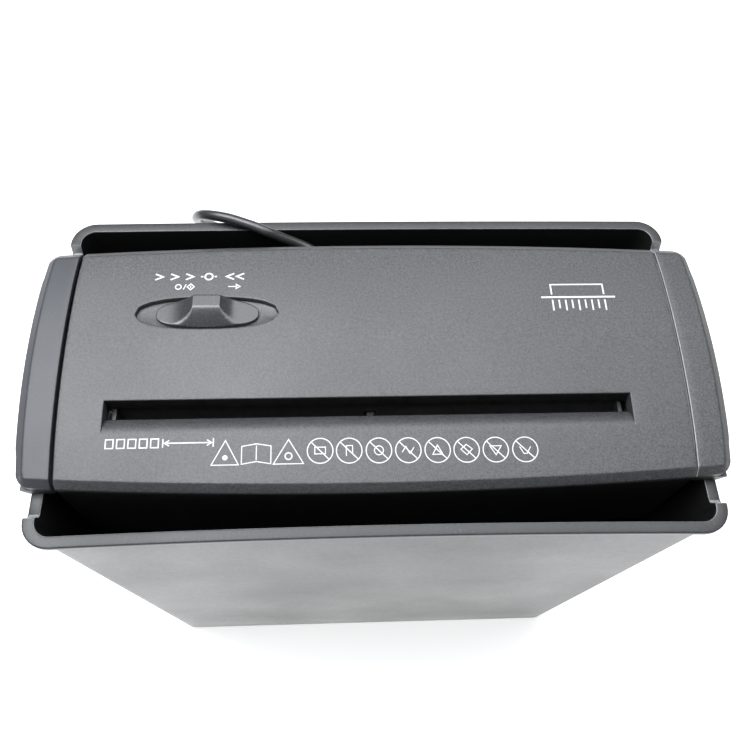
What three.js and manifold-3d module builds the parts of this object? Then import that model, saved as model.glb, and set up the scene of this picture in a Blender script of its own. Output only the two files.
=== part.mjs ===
// Desktop paper shredder: a strip-cut cutting head that lies in two notches of a tapered waste bin.
// Millimetres, +Z up, front towards -Y, origin at the middle of the bin's underside.
import * as THREE from "three";
import { mergeVertices } from "three/addons/utils/BufferGeometryUtils.js";
import Module from "manifold-3d";

const wasm = await Module();
wasm.setup();

// ---------------------------------------------------------------- clearances
const SEAT_GAP = 0.3; // between two pieces that touch
const RUN_GAP = 0.35; // radial gap of a shaft in its bore
const SLIDE_GAP = 0.5; // beside a sliding piece

// ---------------------------------------------------------------- waste bin
const BIN_HEIGHT = 268;
const RIM_WIDTH = 288;
const RIM_DEPTH = 160;
const RIM_CORNER = 11.5;
const RIM_LIP = 3; // how far the rim stands out from the wall
const RIM_THICK = 3;
const BIN_WALL = 2;
const BIN_DRAFT = 13.5; // how far each wall leans in, from rim to floor
const BIN_FLOOR = 2;
const FOOT_HEIGHT = 1.5;
const FOOT_WIDTH = 6;
const NOTCH_DEPTH = 5;
const NOTCH_HALF = RIM_DEPTH / 2 - RIM_CORNER + 0.5; // the notches end where the corners begin
const STEP_LIP = 1.5; // wall of the rim at each end of a notch

// ---------------------------------------------------------------- cutting head, outside
const HEAD_OVERHANG = 7.5; // the head passes the rim at each end
const HEAD_INSET = 20; // the head stays inside the rim at front and back
const CAP_LENGTH = 19.2;
const HEAD_HALF_X = RIM_WIDTH / 2 + HEAD_OVERHANG;
const HEAD_HALF_Y = RIM_DEPTH / 2 - HEAD_INSET;
const SIDE_BOW = 3;
const FRONT_BOW = 5;
const HEAD_CORNER = 6;
const SKIRT_Z = BIN_HEIGHT - 0.5;
const FRONT_EDGE_RISE = 5;
const BACK_EDGE_RISE = 12;
const ARCH = 3;
const FRONT_BEVEL = { width: 3, height: 3 };
const BEVEL = { width: 4.5, height: 4 };
const COVER_WALL = 2.2;
const SEAM_HALF = HEAD_HALF_X - CAP_LENGTH;
const SEAM_BOW = 1.6;
const RIGHT_SEAM = 0.4;
const ARM_GAP = 1.6;

// ---------------------------------------------------------------- feed slot and discharge
const SLOT_LENGTH = 223.4;
const SLOT_X = -3.2;
const SLOT_BACK_Y = -20.3;
const SLOT_WIDTH = 6.6;
const SLOT_RAMP = { length: 8.3, depth: 4.3 };
const THROAT_WALL = 1.6;
const THROAT_BOTTOM_Z = SKIRT_Z + 1.7;
const GUIDE_HEIGHT = 13.2;
const GUIDE_WALL = 4;
const GUIDE_MOUTH = 12;
const GUIDE_NIP = 4.8;

// ---------------------------------------------------------------- mode switch
const RECESS = { x: -74.4, y: 21.1, halfLength: 31.3, halfWidth: 8, depth: 2.5, floor: 2.2 };
const SLIDER = { halfLength: 22.6, halfWidth: 7.1, ridgeHalf: 5.9, rise: 6, lobe: 1.2 };
const STEM = { length: 10, width: 3, depth: 6 };
const SLIDER_TRAVEL = 7;
const SWITCH_BODY = { length: 36, width: 14, height: 13, wall: 2 };

// ---------------------------------------------------------------- lower housing
const HOUSING_HALF_X = SEAM_HALF + 1.7;
const HOUSING_HALF_Y = HEAD_HALF_Y - 1.6;
const HOUSING_BOTTOM_Z = BIN_HEIGHT - 64;
const HOUSING_TOP_Z = SKIRT_Z - SEAT_GAP;
const HOUSING_DRAFT = 1.5;
const HOUSING_WALL = 2;
const LEDGE_Z = BIN_HEIGHT - NOTCH_DEPTH + SEAT_GAP;
const LEDGE_TOP_X = HEAD_HALF_X - 4.3;
const LEDGE_BOTTOM_X = RIM_WIDTH / 2 + 0.2;
const LEDGE_HALF_Y = NOTCH_HALF - 13.5;
const LEFT_WALL_TOP_Z = LEDGE_Z - 1.3;
const BOSS_RADIUS = 3.8;
const BOSS_BORE = 2.9;
const SCREW = { headRadius: 2.5, headHeight: 2, radius: 1.2, length: 15 };

// ---------------------------------------------------------------- extension arm
const ARM_TRAVEL = 55;
const RAIL = { y: 38.4, width: 4, height: 3, length: ARM_TRAVEL + 33 };

// ---------------------------------------------------------------- cutters and their frame
const CUTTER_PITCH = 24; // distance between the two shafts
const DISC_RADIUS = 13.4;
const DISC_CORE = 6;
const SHAFT_RADIUS = 5;
const STRIP_WIDTH = 7.2;
const DISC_SIDE_GAP = 0.2;
const STRIP_COUNT = 30;
const NIP_FORWARD = 4.8; // from the slot's back edge to the line where the discs meet
const NIP_Y = SLOT_BACK_Y - NIP_FORWARD;
const NIP_Z = BIN_HEIGHT - 28;
const FRONT_SHAFT = { y: NIP_Y - CUTTER_PITCH / 2, z: NIP_Z };
const REAR_SHAFT = { y: NIP_Y + CUTTER_PITCH / 2, z: NIP_Z };
const PACK_HALF = (STRIP_COUNT * STRIP_WIDTH) / 2;
const PLATE = 2;
const PLATE_GAP = 2.2; // from the last disc to the plate
const LEFT_PLATE_X = SLOT_X - PACK_HALF - PLATE_GAP - PLATE;
const RIGHT_PLATE_X = SLOT_X + PACK_HALF + PLATE_GAP;
const BUSH = { radius: 8, flange: 10, flangeThick: 1.2 };
const ROD_RADIUS = 2.5;
const COMB = { bar: 5, height: 4, below: 1, finger: 3.4, sideGap: 0.8, tipGap: 1 };

// ---------------------------------------------------------------- gears
const SYNC = { teeth: 12, module: 2 };
const STAGE_1 = { pinion: 12, gear: 48, module: 0.7 };
const STAGE_2 = { pinion: 12, gear: 36, module: 0.9 };
const STAGE_3 = { pinion: 12, gear: 30, module: 1.25 };
const PRESSURE_ANGLE = THREE.MathUtils.degToRad(20);
const ADDENDUM = 0.8; // modules
const DEDENDUM = 1.25; // modules
const BACKLASH = 0.12; // modules, off each flank
const GEAR_FACE = 5;
const LAYER_GAP = 0.8;
const AXLE_RADIUS = 2;
const SECOND_GEAR_ANGLE = THREE.MathUtils.degToRad(8);

// ---------------------------------------------------------------- motor
const MOTOR = { radius: 17.8, length: 66, endCap: 5, shaft: 1.5, y: NIP_Y + 59.2, z: NIP_Z + 6 };

// ---------------------------------------------------------------- cord, coil and plug
const CORD_RADIUS = 2.5;
const CORD_SIDES = 8;
const CORD_STEPS = 74;
const COIL = { x: 6, y: 136.9, inner: 20.1, outer: 35.1, bottom: 0.2, top: 10.2 };
const PLUG = { x: 46, width: 14, thick: 11, relief: 14, body: 26, pin: 19, pinRadius: 2, pinSpan: 8.4 };
// From the strain relief, up over the back rim, round a hairpin behind it and down to the floor.
const CORD_POINTS = [
  [-24.5, 65.9, 260.0],
  [-32.4, 69.7, 262.2],
  [-38.2, 71.0, 264.5],
  [-44.3, 71.8, 267.3],
  [-50.4, 72.7, 270.3],
  [-56.2, 75.0, 271.3],
  [-62.4, 77.4, 271.6],
  [-68.3, 79.7, 271.6],
  [-75.8, 82.1, 270.9],
  [-82.6, 85.4, 267.6],
  [-86.6, 89.8, 260.6],
  [-87.4, 94.8, 251.8],
  [-84.6, 99.4, 243.0],
  [-79.0, 102.6, 234.6],
  [-71.0, 104.0, 226.4],
  [-61.6, 104.0, 217.6],
  [-52.8, 104.0, 207.6],
  [-46.0, 104.0, 196.0],
  [-42.2, 104.0, 182.0],
  [-41.0, 104.0, 150.0],
  [-41.0, 104.0, 110.0],
  [-41.0, 104.0, 70.0],
  [-41.0, 104.0, 40.0],
  [-40.6, 104.0, 24.0],
  [-37.6, 104.0, 13.0],
  [-31.0, 104.0, 6.2],
  [-22.5, 104.0, 3.2],
  [-13.0, 104.0, 2.8],
];
const TAIL_POINTS = [
  [24.8, 104.0, 7.0],
  [31.0, 104.0, 6.6],
  [38.0, 104.0, 6.0],
  [PLUG.x - SEAT_GAP, 104.0, 5.8],
];
const RELIEF = { root: 4.6, tip: 3.1, length: 20 };

// ---------------------------------------------------------------- materials
const plastic = (color, roughness) => new THREE.MeshStandardMaterial({ color, roughness, metalness: 0 });
const metal = (color, roughness) => new THREE.MeshStandardMaterial({ color, roughness, metalness: 1 });
const BIN_PLASTIC = plastic(0x55575b, 0.4);
const COVER_PLASTIC = plastic(0x4a4d52, 0.55);
const ARM_PLASTIC = plastic(0x53565f, 0.4);
const HOUSING_PLASTIC = plastic(0x1d1e20, 0.6);
const SLIDER_PLASTIC = plastic(0x54565a, 0.35);
const STEEL = metal(0x9a9da1, 0.35);
const CUTTER_STEEL = metal(0x77797d, 0.4);
const WHITE_NYLON = plastic(0xe2dfd2, 0.5);
const CORD_RUBBER = plastic(0x35363a, 0.4);
const BOARD = plastic(0x1f5a35, 0.5);
const YELLOW_FILM = plastic(0xc9a227, 0.4);
const BRASS = metal(0xc8a85a, 0.3);

// ---------------------------------------------------------------- building blocks
const model = new THREE.Group();

// A closed three.js geometry as a solid that can be cut and joined.
function solid(geometry) {
  const bare = geometry.clone();
  bare.deleteAttribute("normal");
  bare.deleteAttribute("uv");
  const merged = mergeVertices(bare, 1e-4);
  const vertProperties = new Float32Array(merged.attributes.position.array);
  const triVerts = new Uint32Array(merged.index.array);
  return new wasm.Manifold(new wasm.Mesh({ numProp: 3, vertProperties, triVerts }));
}

function geometryOf(piece) {
  const { vertProperties, triVerts } = piece.getMesh();
  const geometry = new THREE.BufferGeometry();
  geometry.setAttribute("position", new THREE.BufferAttribute(vertProperties, 3));
  geometry.setIndex(new THREE.BufferAttribute(triVerts, 1));
  geometry.computeVertexNormals();
  return geometry;
}

function add(name, piece, material) {
  const mesh = new THREE.Mesh(geometryOf(piece), material);
  mesh.name = name;
  model.add(mesh);
  return mesh;
}

function box(x0, x1, y0, y1, z0, z1) {
  const geometry = new THREE.BoxGeometry(x1 - x0, y1 - y0, z1 - z0);
  return solid(geometry.translate((x0 + x1) / 2, (y0 + y1) / 2, (z0 + z1) / 2));
}

function cylinderZ(x, y, radius, z0, z1, segments = 16) {
  const geometry = new THREE.CylinderGeometry(radius, radius, z1 - z0, segments);
  return solid(geometry.rotateX(Math.PI / 2).translate(x, y, (z0 + z1) / 2));
}

function cylinderX(centre, radius, x0, x1, segments = 16) {
  const geometry = new THREE.CylinderGeometry(radius, radius, x1 - x0, segments);
  return solid(geometry.rotateZ(-Math.PI / 2).translate((x0 + x1) / 2, centre.y, centre.z));
}

const plan = (points) => new THREE.Shape(points.map(([x, y]) => new THREE.Vector2(x, y)));

function extrudeZ(shape, z0, z1, curveSegments = 6) {
  const geometry = new THREE.ExtrudeGeometry(shape, { depth: z1 - z0, bevelEnabled: false, curveSegments });
  return geometry.translate(0, 0, z0);
}

// A shape drawn in Y and Z, drawn out along X.
function extrudeX(shape, x0, x1, options = {}) {
  const geometry = new THREE.ExtrudeGeometry(shape, { depth: x1 - x0, bevelEnabled: false, ...options });
  const turn = new THREE.Matrix4().makeBasis(
    new THREE.Vector3(0, 1, 0),
    new THREE.Vector3(0, 0, 1),
    new THREE.Vector3(1, 0, 0),
  );
  return geometry.applyMatrix4(turn).translate(x0, 0, 0);
}

// A shape drawn in X and Z, drawn out along Y.
function extrudeY(shape, y0, y1) {
  const geometry = new THREE.ExtrudeGeometry(shape, { depth: y1 - y0, bevelEnabled: false });
  return geometry.rotateX(Math.PI / 2).translate(0, y1, 0);
}

function roundedRect(width, depth, radius) {
  const x = width / 2;
  const y = depth / 2;
  const shape = new THREE.Shape();
  shape.moveTo(-x + radius, -y);
  shape.lineTo(x - radius, -y);
  shape.absarc(x - radius, -y + radius, radius, -Math.PI / 2, 0);
  shape.lineTo(x, y - radius);
  shape.absarc(x - radius, y - radius, radius, 0, Math.PI / 2);
  shape.lineTo(-x + radius, y);
  shape.absarc(-x + radius, y - radius, radius, Math.PI / 2, Math.PI);
  shape.lineTo(-x, -y + radius);
  shape.absarc(-x + radius, -y + radius, radius, Math.PI, 1.5 * Math.PI);
  return shape;
}

function moveVertices(geometry, move) {
  const position = geometry.attributes.position;
  const point = new THREE.Vector3();
  for (let i = 0; i < position.count; i += 1) {
    point.fromBufferAttribute(position, i);
    move(point);
    position.setXYZ(i, point.x, point.y, point.z);
  }
  return geometry;
}

// ---------------------------------------------------------------- waste bin
// A round-cornered block whose walls lean in by BIN_DRAFT from the rim to the floor.
function binBlock(width, depth, radius, z0, z1) {
  return solid(
    moveVertices(extrudeZ(roundedRect(width, depth, radius), z0, z1), (p) => {
      const lean = BIN_DRAFT * (1 - p.z / BIN_HEIGHT);
      p.x *= 1 - lean / (width / 2);
      p.y *= 1 - lean / (depth / 2);
    }),
  );
}

function wasteBin() {
  const wallX = RIM_WIDTH - 2 * RIM_LIP;
  const wallY = RIM_DEPTH - 2 * RIM_LIP;
  const innerX = wallX - 2 * BIN_WALL;
  const innerY = wallY - 2 * BIN_WALL;
  const wallCorner = RIM_CORNER - RIM_LIP;
  const innerCorner = wallCorner - BIN_WALL;
  const rim = solid(extrudeZ(roundedRect(RIM_WIDTH, RIM_DEPTH, RIM_CORNER), BIN_HEIGHT - RIM_THICK, BIN_HEIGHT));
  const inside = binBlock(innerX, innerY, innerCorner, FOOT_HEIGHT + BIN_FLOOR, BIN_HEIGHT + 1);
  const under = binBlock(innerX - 2 * FOOT_WIDTH, innerY - 2 * FOOT_WIDTH, innerCorner, -1, FOOT_HEIGHT);
  let bin = binBlock(wallX, wallY, wallCorner, 0, BIN_HEIGHT).add(rim);
  const notchZ = BIN_HEIGHT - NOTCH_DEPTH;
  for (const side of [-1, 1]) {
    const outer = (side * RIM_WIDTH) / 2;
    const inner = (side * (innerX - 20)) / 2;
    const wall = (side * (innerX + BIN_WALL)) / 2;
    const [low, high] = [Math.min(outer, inner), Math.max(outer, inner)];
    const [lipLow, lipHigh] = [Math.min(outer, wall), Math.max(outer, wall)];
    bin = bin
      .subtract(box(low - 1, high + 1, -NOTCH_HALF, NOTCH_HALF, notchZ, BIN_HEIGHT + 1))
      .add(box(lipLow, lipHigh, -NOTCH_HALF, NOTCH_HALF, notchZ - RIM_THICK, notchZ));
    for (const end of [-1, 1]) {
      const [y0, y1] = [end * NOTCH_HALF, end * (NOTCH_HALF + STEP_LIP)].sort((a, b) => a - b);
      bin = bin.add(box(lipLow, lipHigh, y0, y1, notchZ - RIM_THICK, BIN_HEIGHT - RIM_THICK / 2));
    }
  }
  return bin.subtract(inside).subtract(under);
}

// ---------------------------------------------------------------- head outline
const FRONT_EDGE_Y = -(HEAD_HALF_Y - FRONT_BEVEL.width);
const BACK_EDGE_Y = HEAD_HALF_Y - BEVEL.width;

// Height of the crowned top, from its low front edge to its high back edge.
function topZ(y) {
  const middle = (FRONT_EDGE_Y + BACK_EDGE_Y) / 2;
  const half = (BACK_EDGE_Y - FRONT_EDGE_Y) / 2;
  const share = (y - FRONT_EDGE_Y) / (2 * half);
  const tilt = THREE.MathUtils.lerp(FRONT_EDGE_RISE, BACK_EDGE_RISE, share);
  return SKIRT_Z + tilt + ARCH * (1 - ((y - middle) / half) ** 2);
}

const halfYAt = (x, half) => half - FRONT_BOW * (x / HEAD_HALF_X) ** 2;

// Stations along X: close together round each end, even between.
function stations(halfX) {
  const ends = [0, 0.6, 2.2, BEVEL.width, 7];
  const inner = halfX - ends[ends.length - 1];
  const left = ends.map((e) => -halfX + e);
  const middle = [-0.75, -0.5, -0.25, 0, 0.25, 0.5, 0.75].map((share) => share * inner);
  const right = left.map((x) => -x).reverse();
  return [...left, ...middle, ...right];
}

// A block with the head's barrel plan, crowned top and bevelled edges, inset all round.
function headBlock(inset, bottomZ) {
  const halfX = HEAD_HALF_X - inset;
  const halfY = HEAD_HALF_Y - inset;
  const points = [
    [-halfY, bottomZ],
    [halfY, bottomZ],
    [halfY, topZ(BACK_EDGE_Y) - BEVEL.height - inset],
  ];
  const count = 10;
  for (let i = 0; i <= count; i += 1) {
    const y = THREE.MathUtils.lerp(BACK_EDGE_Y - inset, FRONT_EDGE_Y + inset, i / count);
    points.push([y, topZ(y) - inset]);
  }
  points.push([-halfY, topZ(FRONT_EDGE_Y) - FRONT_BEVEL.height - inset / 2]);
  const along = stations(halfX);
  const steps = along.length - 1;
  const block = extrudeX(plan(points), 0, steps, { steps });
  return solid(
    moveVertices(block, (p) => {
      const x = along[Math.round(p.x)];
      const fromEnd = halfX - Math.abs(x);
      const round = Math.max(0, HEAD_CORNER - fromEnd);
      const pull = HEAD_CORNER - Math.sqrt(HEAD_CORNER ** 2 - round ** 2);
      const drop = BEVEL.height * Math.max(0, 1 - fromEnd / BEVEL.width);
      const side = p.y / halfY;
      p.y = side * (halfYAt(x, halfY) - pull);
      p.x = x * (1 - (SIDE_BOW * side ** 2) / HEAD_HALF_X);
      p.z = p.z > bottomZ + 0.01 ? Math.max(bottomZ + 1.2, p.z - drop) : p.z;
    }),
  );
}

// Everything between two curved seams, from one side's seam to the other's.
function betweenSeams(fromX, toX) {
  const count = 8;
  const edge = (x) => {
    const row = [];
    for (let i = 0; i <= count; i += 1) {
      const y = THREE.MathUtils.lerp(-HEAD_HALF_Y - 2, HEAD_HALF_Y + 2, i / count);
      const bow = SEAM_BOW * (1 - (y / HEAD_HALF_Y) ** 2);
      row.push([x + Math.sign(x) * bow, y]);
    }
    return row;
  };
  return solid(extrudeZ(plan([...edge(toX), ...edge(fromX).reverse()]), BIN_HEIGHT - 20, BIN_HEIGHT + 40));
}

const SHELL = headBlock(0, SKIRT_Z).subtract(headBlock(COVER_WALL, SKIRT_Z - 8));

// ---------------------------------------------------------------- places shared by several pieces
const SLOT_X0 = SLOT_X - SLOT_LENGTH / 2;
const SLOT_X1 = SLOT_X + SLOT_LENGTH / 2;
const SLOT_FRONT_Y = SLOT_BACK_Y - SLOT_WIDTH;
const RECESS_FLOOR_Z = topZ(RECESS.y) - RECESS.depth;
const RECESS_UNDER_Z = RECESS_FLOOR_Z - RECESS.floor;
const BOSSES = [
  [-HOUSING_HALF_X + 5.4, -45.5],
  [-HOUSING_HALF_X + 7, 45.5],
  [HOUSING_HALF_X - 8, -43.0],
  [HOUSING_HALF_X - 15, HOUSING_HALF_Y - 9],
];
const BOSS_SPLIT_Z = LEFT_WALL_TOP_Z;
const RODS = [
  [NIP_Y - 18.8, NIP_Z + 17],
  [NIP_Y + 28.5, NIP_Z + 17],
  [NIP_Y - 18.8, NIP_Z - 19.5],
  [NIP_Y + 28.5, NIP_Z - 21],
].map(([y, z]) => ({ y, z }));
const LAYER_X = [0, 1, 2].map((i) => RIGHT_PLATE_X + PLATE + 1.3 + i * (GEAR_FACE + LAYER_GAP));
const GEARBOX_COVER_X = LAYER_X[2] + GEAR_FACE + LAYER_GAP;
const centreDistance = (stage) => ((stage.pinion + stage.gear) * stage.module) / 2;
const SECOND_GEAR = {
  y: REAR_SHAFT.y + centreDistance(STAGE_3) * Math.cos(SECOND_GEAR_ANGLE),
  z: REAR_SHAFT.z + centreDistance(STAGE_3) * Math.sin(SECOND_GEAR_ANGLE),
};
const FIRST_GEAR = meetingPoint(SECOND_GEAR, centreDistance(STAGE_2), MOTOR, centreDistance(STAGE_1));

// The lower of the two points at given distances from a and b.
function meetingPoint(a, fromA, b, fromB) {
  const apart = Math.hypot(b.y - a.y, b.z - a.z);
  const along = (fromA ** 2 - fromB ** 2 + apart ** 2) / (2 * apart);
  const off = Math.sqrt(fromA ** 2 - along ** 2);
  const [uy, uz] = [(b.y - a.y) / apart, (b.z - a.z) / apart];
  return { y: a.y + along * uy + off * uz, z: a.z + along * uz - off * uy };
}

// ---------------------------------------------------------------- head covers
function ellipseShape(centreX, centreY, halfLength, halfWidth) {
  const shape = new THREE.Shape();
  shape.absellipse(centreX, centreY, halfLength, halfWidth, 0, 2 * Math.PI);
  return shape;
}

function topCover() {
  const recess = ellipseShape(RECESS.x, RECESS.y, RECESS.halfLength, RECESS.halfWidth);
  const padOutline = ellipseShape(RECESS.x, RECESS.y, RECESS.halfLength + 2, RECESS.halfWidth + 2);
  const pad = solid(extrudeZ(padOutline, RECESS_UNDER_Z, topZ(RECESS.y) - 1, 14));
  let cover = SHELL.intersect(betweenSeams(-SEAM_HALF, SEAM_HALF)).add(pad);
  for (const [inner, outer, bottom] of [
    [SLOT_BACK_Y, SLOT_BACK_Y + THROAT_WALL, THROAT_BOTTOM_Z],
    [SLOT_FRONT_Y, SLOT_FRONT_Y - THROAT_WALL, THROAT_BOTTOM_Z],
  ]) {
    const [y0, y1] = [inner, outer].sort((a, b) => a - b);
    const under = topZ(outer) - COVER_WALL / 2 - (inner === SLOT_FRONT_Y ? SLOT_RAMP.depth - 1 : 0);
    cover = cover.add(box(SLOT_X0 - THROAT_WALL, SLOT_X1 + THROAT_WALL, y0, y1, bottom, under));
  }
  for (const [x0, x1] of [
    [SLOT_X0 - THROAT_WALL, SLOT_X0],
    [SLOT_X1, SLOT_X1 + THROAT_WALL],
  ]) {
    const y0 = SLOT_FRONT_Y - THROAT_WALL;
    cover = cover.add(box(x0, x1, y0, SLOT_BACK_Y + THROAT_WALL, THROAT_BOTTOM_Z, topZ(y0) - COVER_WALL / 2));
  }
  const rampY = SLOT_FRONT_Y - SLOT_RAMP.length;
  const ramp = plan([
    [SLOT_FRONT_Y, topZ(SLOT_FRONT_Y) - SLOT_RAMP.depth],
    [SLOT_FRONT_Y, topZ(SLOT_FRONT_Y) + 4],
    [rampY - 1, topZ(SLOT_FRONT_Y) + 4],
    [rampY, topZ(rampY)],
  ]);
  const rampPad = plan([
    [SLOT_FRONT_Y, topZ(SLOT_FRONT_Y) - SLOT_RAMP.depth],
    [rampY - 2, topZ(rampY - 2) - 1],
    [rampY - 2, topZ(rampY - 2) - COVER_WALL - 0.8],
    [SLOT_FRONT_Y - THROAT_WALL, topZ(SLOT_FRONT_Y) - SLOT_RAMP.depth - COVER_WALL],
    [SLOT_FRONT_Y, topZ(SLOT_FRONT_Y) - SLOT_RAMP.depth - COVER_WALL],
  ]);
  const wayDown = box(SLOT_X0, SLOT_X1, SLOT_FRONT_Y, SLOT_BACK_Y, THROAT_BOTTOM_Z - 1, BIN_HEIGHT + 20);
  const stemSlot = box(
    RECESS.x - STEM.length / 2 - SLIDER_TRAVEL - SLIDE_GAP,
    RECESS.x + STEM.length / 2 + SLIDER_TRAVEL + SLIDE_GAP,
    RECESS.y - STEM.width / 2 - SLIDE_GAP,
    RECESS.y + STEM.width / 2 + SLIDE_GAP,
    RECESS_UNDER_Z - 1,
    RECESS_FLOOR_Z + 1,
  );
  for (const [x, y] of BOSSES) {
    const boss = cylinderZ(x, y, BOSS_RADIUS - 0.4, BOSS_SPLIT_Z + SEAT_GAP, topZ(y) - COVER_WALL / 2, 12);
    const bore = cylinderZ(x, y, SCREW.radius + SEAT_GAP, BOSS_SPLIT_Z - 1, BOSS_SPLIT_Z + 10, 10);
    cover = cover.add(boss.intersect(headBlock(0.6, SKIRT_Z - 8))).subtract(bore);
  }
  return cover
    .add(solid(extrudeX(rampPad, SLOT_X0 - THROAT_WALL, SLOT_X1 + THROAT_WALL)))
    .subtract(solid(extrudeX(ramp, SLOT_X0, SLOT_X1)))
    .subtract(wayDown)
    .subtract(solid(extrudeZ(recess, RECESS_FLOOR_Z, BIN_HEIGHT + 20, 14)))
    .subtract(stemSlot);
}

// ---------------------------------------------------------------- lower housing
function housingBlock(inset, z0, z1) {
  const halfX = HOUSING_HALF_X - inset;
  const top = HOUSING_HALF_Y - inset;
  const low = top - HOUSING_DRAFT;
  const outline = plan([
    [-low, z0],
    [low, z0],
    [top, z1],
    [-top, z1],
  ]);
  const steps = 8;
  return solid(
    moveVertices(extrudeX(outline, 0, steps, { steps }), (p) => {
      const x = THREE.MathUtils.lerp(-halfX, halfX, p.x / steps);
      p.x = x;
      p.y *= halfYAt(x, top) / top;
    }),
  );
}

// The bearing surface of one end: its outer face leans in towards the bin's rim.
function ledge(innerX, side) {
  const outline = plan([
    [side * innerX, LEDGE_Z],
    [side * LEDGE_BOTTOM_X, LEDGE_Z],
    [side * LEDGE_TOP_X, HOUSING_TOP_Z],
    [side * innerX, HOUSING_TOP_Z],
  ]);
  return solid(extrudeY(outline, -LEDGE_HALF_Y, LEDGE_HALF_Y));
}

function lowerHousing() {
  const floorZ = HOUSING_BOTTOM_Z + HOUSING_WALL;
  const dischargeHalf = 13.5;
  const leftCut = box(
    -HOUSING_HALF_X - 1, -HOUSING_HALF_X + HOUSING_WALL + 1,
    -HEAD_HALF_Y, HEAD_HALF_Y,
    LEFT_WALL_TOP_Z, HOUSING_TOP_Z + 1,
  );
  let housing = housingBlock(0, HOUSING_BOTTOM_Z, HOUSING_TOP_Z)
    .subtract(housingBlock(HOUSING_WALL, floorZ, HOUSING_TOP_Z + 1))
    .subtract(leftCut)
    .add(ledge(HOUSING_HALF_X - 1, 1))
    .subtract(
      box(SLOT_X0, SLOT_X1, NIP_Y - dischargeHalf, NIP_Y + dischargeHalf, HOUSING_BOTTOM_Z - 1, floorZ + 1),
    );
  for (const [x, y] of BOSSES) {
    const boss = cylinderZ(x, y, BOSS_RADIUS, floorZ - 1, BOSS_SPLIT_Z, 12);
    const well = cylinderZ(x, y, BOSS_BORE, HOUSING_BOTTOM_Z - 1, BOSS_SPLIT_Z - 3, 12);
    const bore = cylinderZ(x, y, SCREW.radius + SEAT_GAP, BOSS_SPLIT_Z - 4, BOSS_SPLIT_Z + 1, 10);
    housing = housing.add(boss).subtract(well).subtract(bore);
  }
  for (const x of BOARD_POSTS_X) {
    housing = housing.add(box(x - 2, x + 2, BOARD_Y0 + 4, BOARD_Y0 + 10, floorZ - 1, BOARD_Z - SEAT_GAP));
  }
  for (const plateX of [LEFT_PLATE_X, RIGHT_PLATE_X]) {
    const y0 = NIP_Y - 19;
    housing = housing.add(box(plateX - 1, plateX + PLATE + 1, y0, y0 + 5, floorZ - 1, PLATE_BOTTOM_Z - SEAT_GAP));
    housing = housing.add(box(plateX - 1, plateX + PLATE + 1, NIP_Y + 15, NIP_Y + 20, floorZ - 1, PLATE_BOTTOM_Z - SEAT_GAP));
  }
  return housing;
}

// ---------------------------------------------------------------- extension arm
function extensionArm() {
  const inner = SEAM_HALF + ARM_GAP;
  let arm = ledge(inner, -1);
  for (const side of [-1, 1]) {
    const [y0, y1] = [side * (RAIL.y - RAIL.width / 2), side * (RAIL.y + RAIL.width / 2)].sort((a, b) => a - b);
    arm = arm.add(box(-HEAD_HALF_X + 8, -inner + RAIL.length - 10, y0, y1, LEDGE_Z, LEDGE_Z + RAIL.height));
  }
  return arm;
}

// ---------------------------------------------------------------- slider of the mode switch
function switchSlider() {
  const { halfLength, halfWidth, ridgeHalf, rise, lobe } = SLIDER;
  const base = RECESS_FLOOR_Z + SEAT_GAP;
  const outline = [[-halfLength, base], [halfLength, base], [halfLength, base + lobe]];
  const count = 5;
  for (let i = 1; i <= count; i += 1) {
    const share = i / count;
    outline.push([THREE.MathUtils.lerp(halfLength, ridgeHalf, share), base + lobe + (rise - lobe) * share ** 2.4]);
  }
  const left = outline.slice(2).map(([x, z]) => [-x, z]).reverse();
  const side = plan([...outline, ...left]);
  const prism = solid(extrudeY(side, -halfWidth, halfWidth).translate(RECESS.x, RECESS.y, 0));
  const edge = solid(extrudeZ(ellipseShape(RECESS.x, RECESS.y, halfLength, halfWidth), base - 1, base + 20, 12));
  const stem = box(
    RECESS.x - STEM.length / 2,
    RECESS.x + STEM.length / 2,
    RECESS.y - STEM.width / 2,
    RECESS.y + STEM.width / 2,
    base - STEM.depth,
    base + 1,
  );
  return prism.intersect(edge).add(stem);
}

function modeSwitch() {
  const { length, width, height, wall } = SWITCH_BODY;
  const top = RECESS_UNDER_Z - SEAT_GAP;
  const body = box(
    RECESS.x - length / 2, RECESS.x + length / 2,
    RECESS.y - width / 2, RECESS.y + width / 2,
    top - height, top,
  );
  const way = box(
    RECESS.x - length / 2 + wall, RECESS.x + length / 2 - wall,
    RECESS.y - STEM.width / 2 - SLIDE_GAP, RECESS.y + STEM.width / 2 + SLIDE_GAP,
    top - STEM.depth, top + 1,
  );
  return body.subtract(way);
}

// ---------------------------------------------------------------- gears
const involute = (angle) => Math.tan(angle) - angle;

// One gear's outline: flanks are involutes sampled at root, middle and tip, with a bore.
function gearShape(teeth, module, bore, phase) {
  const pitch = (teeth * module) / 2;
  const base = pitch * Math.cos(PRESSURE_ANGLE);
  const root = pitch - DEDENDUM * module;
  const tip = pitch + ADDENDUM * module;
  const halfAt = (radius) => {
    const angle = radius > base ? Math.acos(base / radius) : 0;
    const atPitch = Math.PI / (2 * teeth) - (BACKLASH * module) / pitch;
    return atPitch + involute(PRESSURE_ANGLE) - involute(angle);
  };
  const flank = teeth > 20 ? [root, tip] : [root, Math.max(base, root), pitch, tip];
  const points = [];
  for (let i = 0; i < teeth; i += 1) {
    const middle = phase + (i * 2 * Math.PI) / teeth;
    for (const radius of flank) points.push([radius, middle - halfAt(radius)]);
    for (const radius of [...flank].reverse()) points.push([radius, middle + halfAt(radius)]);
  }
  const shape = plan(points.map(([radius, angle]) => [radius * Math.cos(angle), radius * Math.sin(angle)]));
  const hole = new THREE.Path();
  hole.absarc(0, 0, bore, 0, 2 * Math.PI, true);
  shape.holes.push(hole);
  return shape;
}

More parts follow.
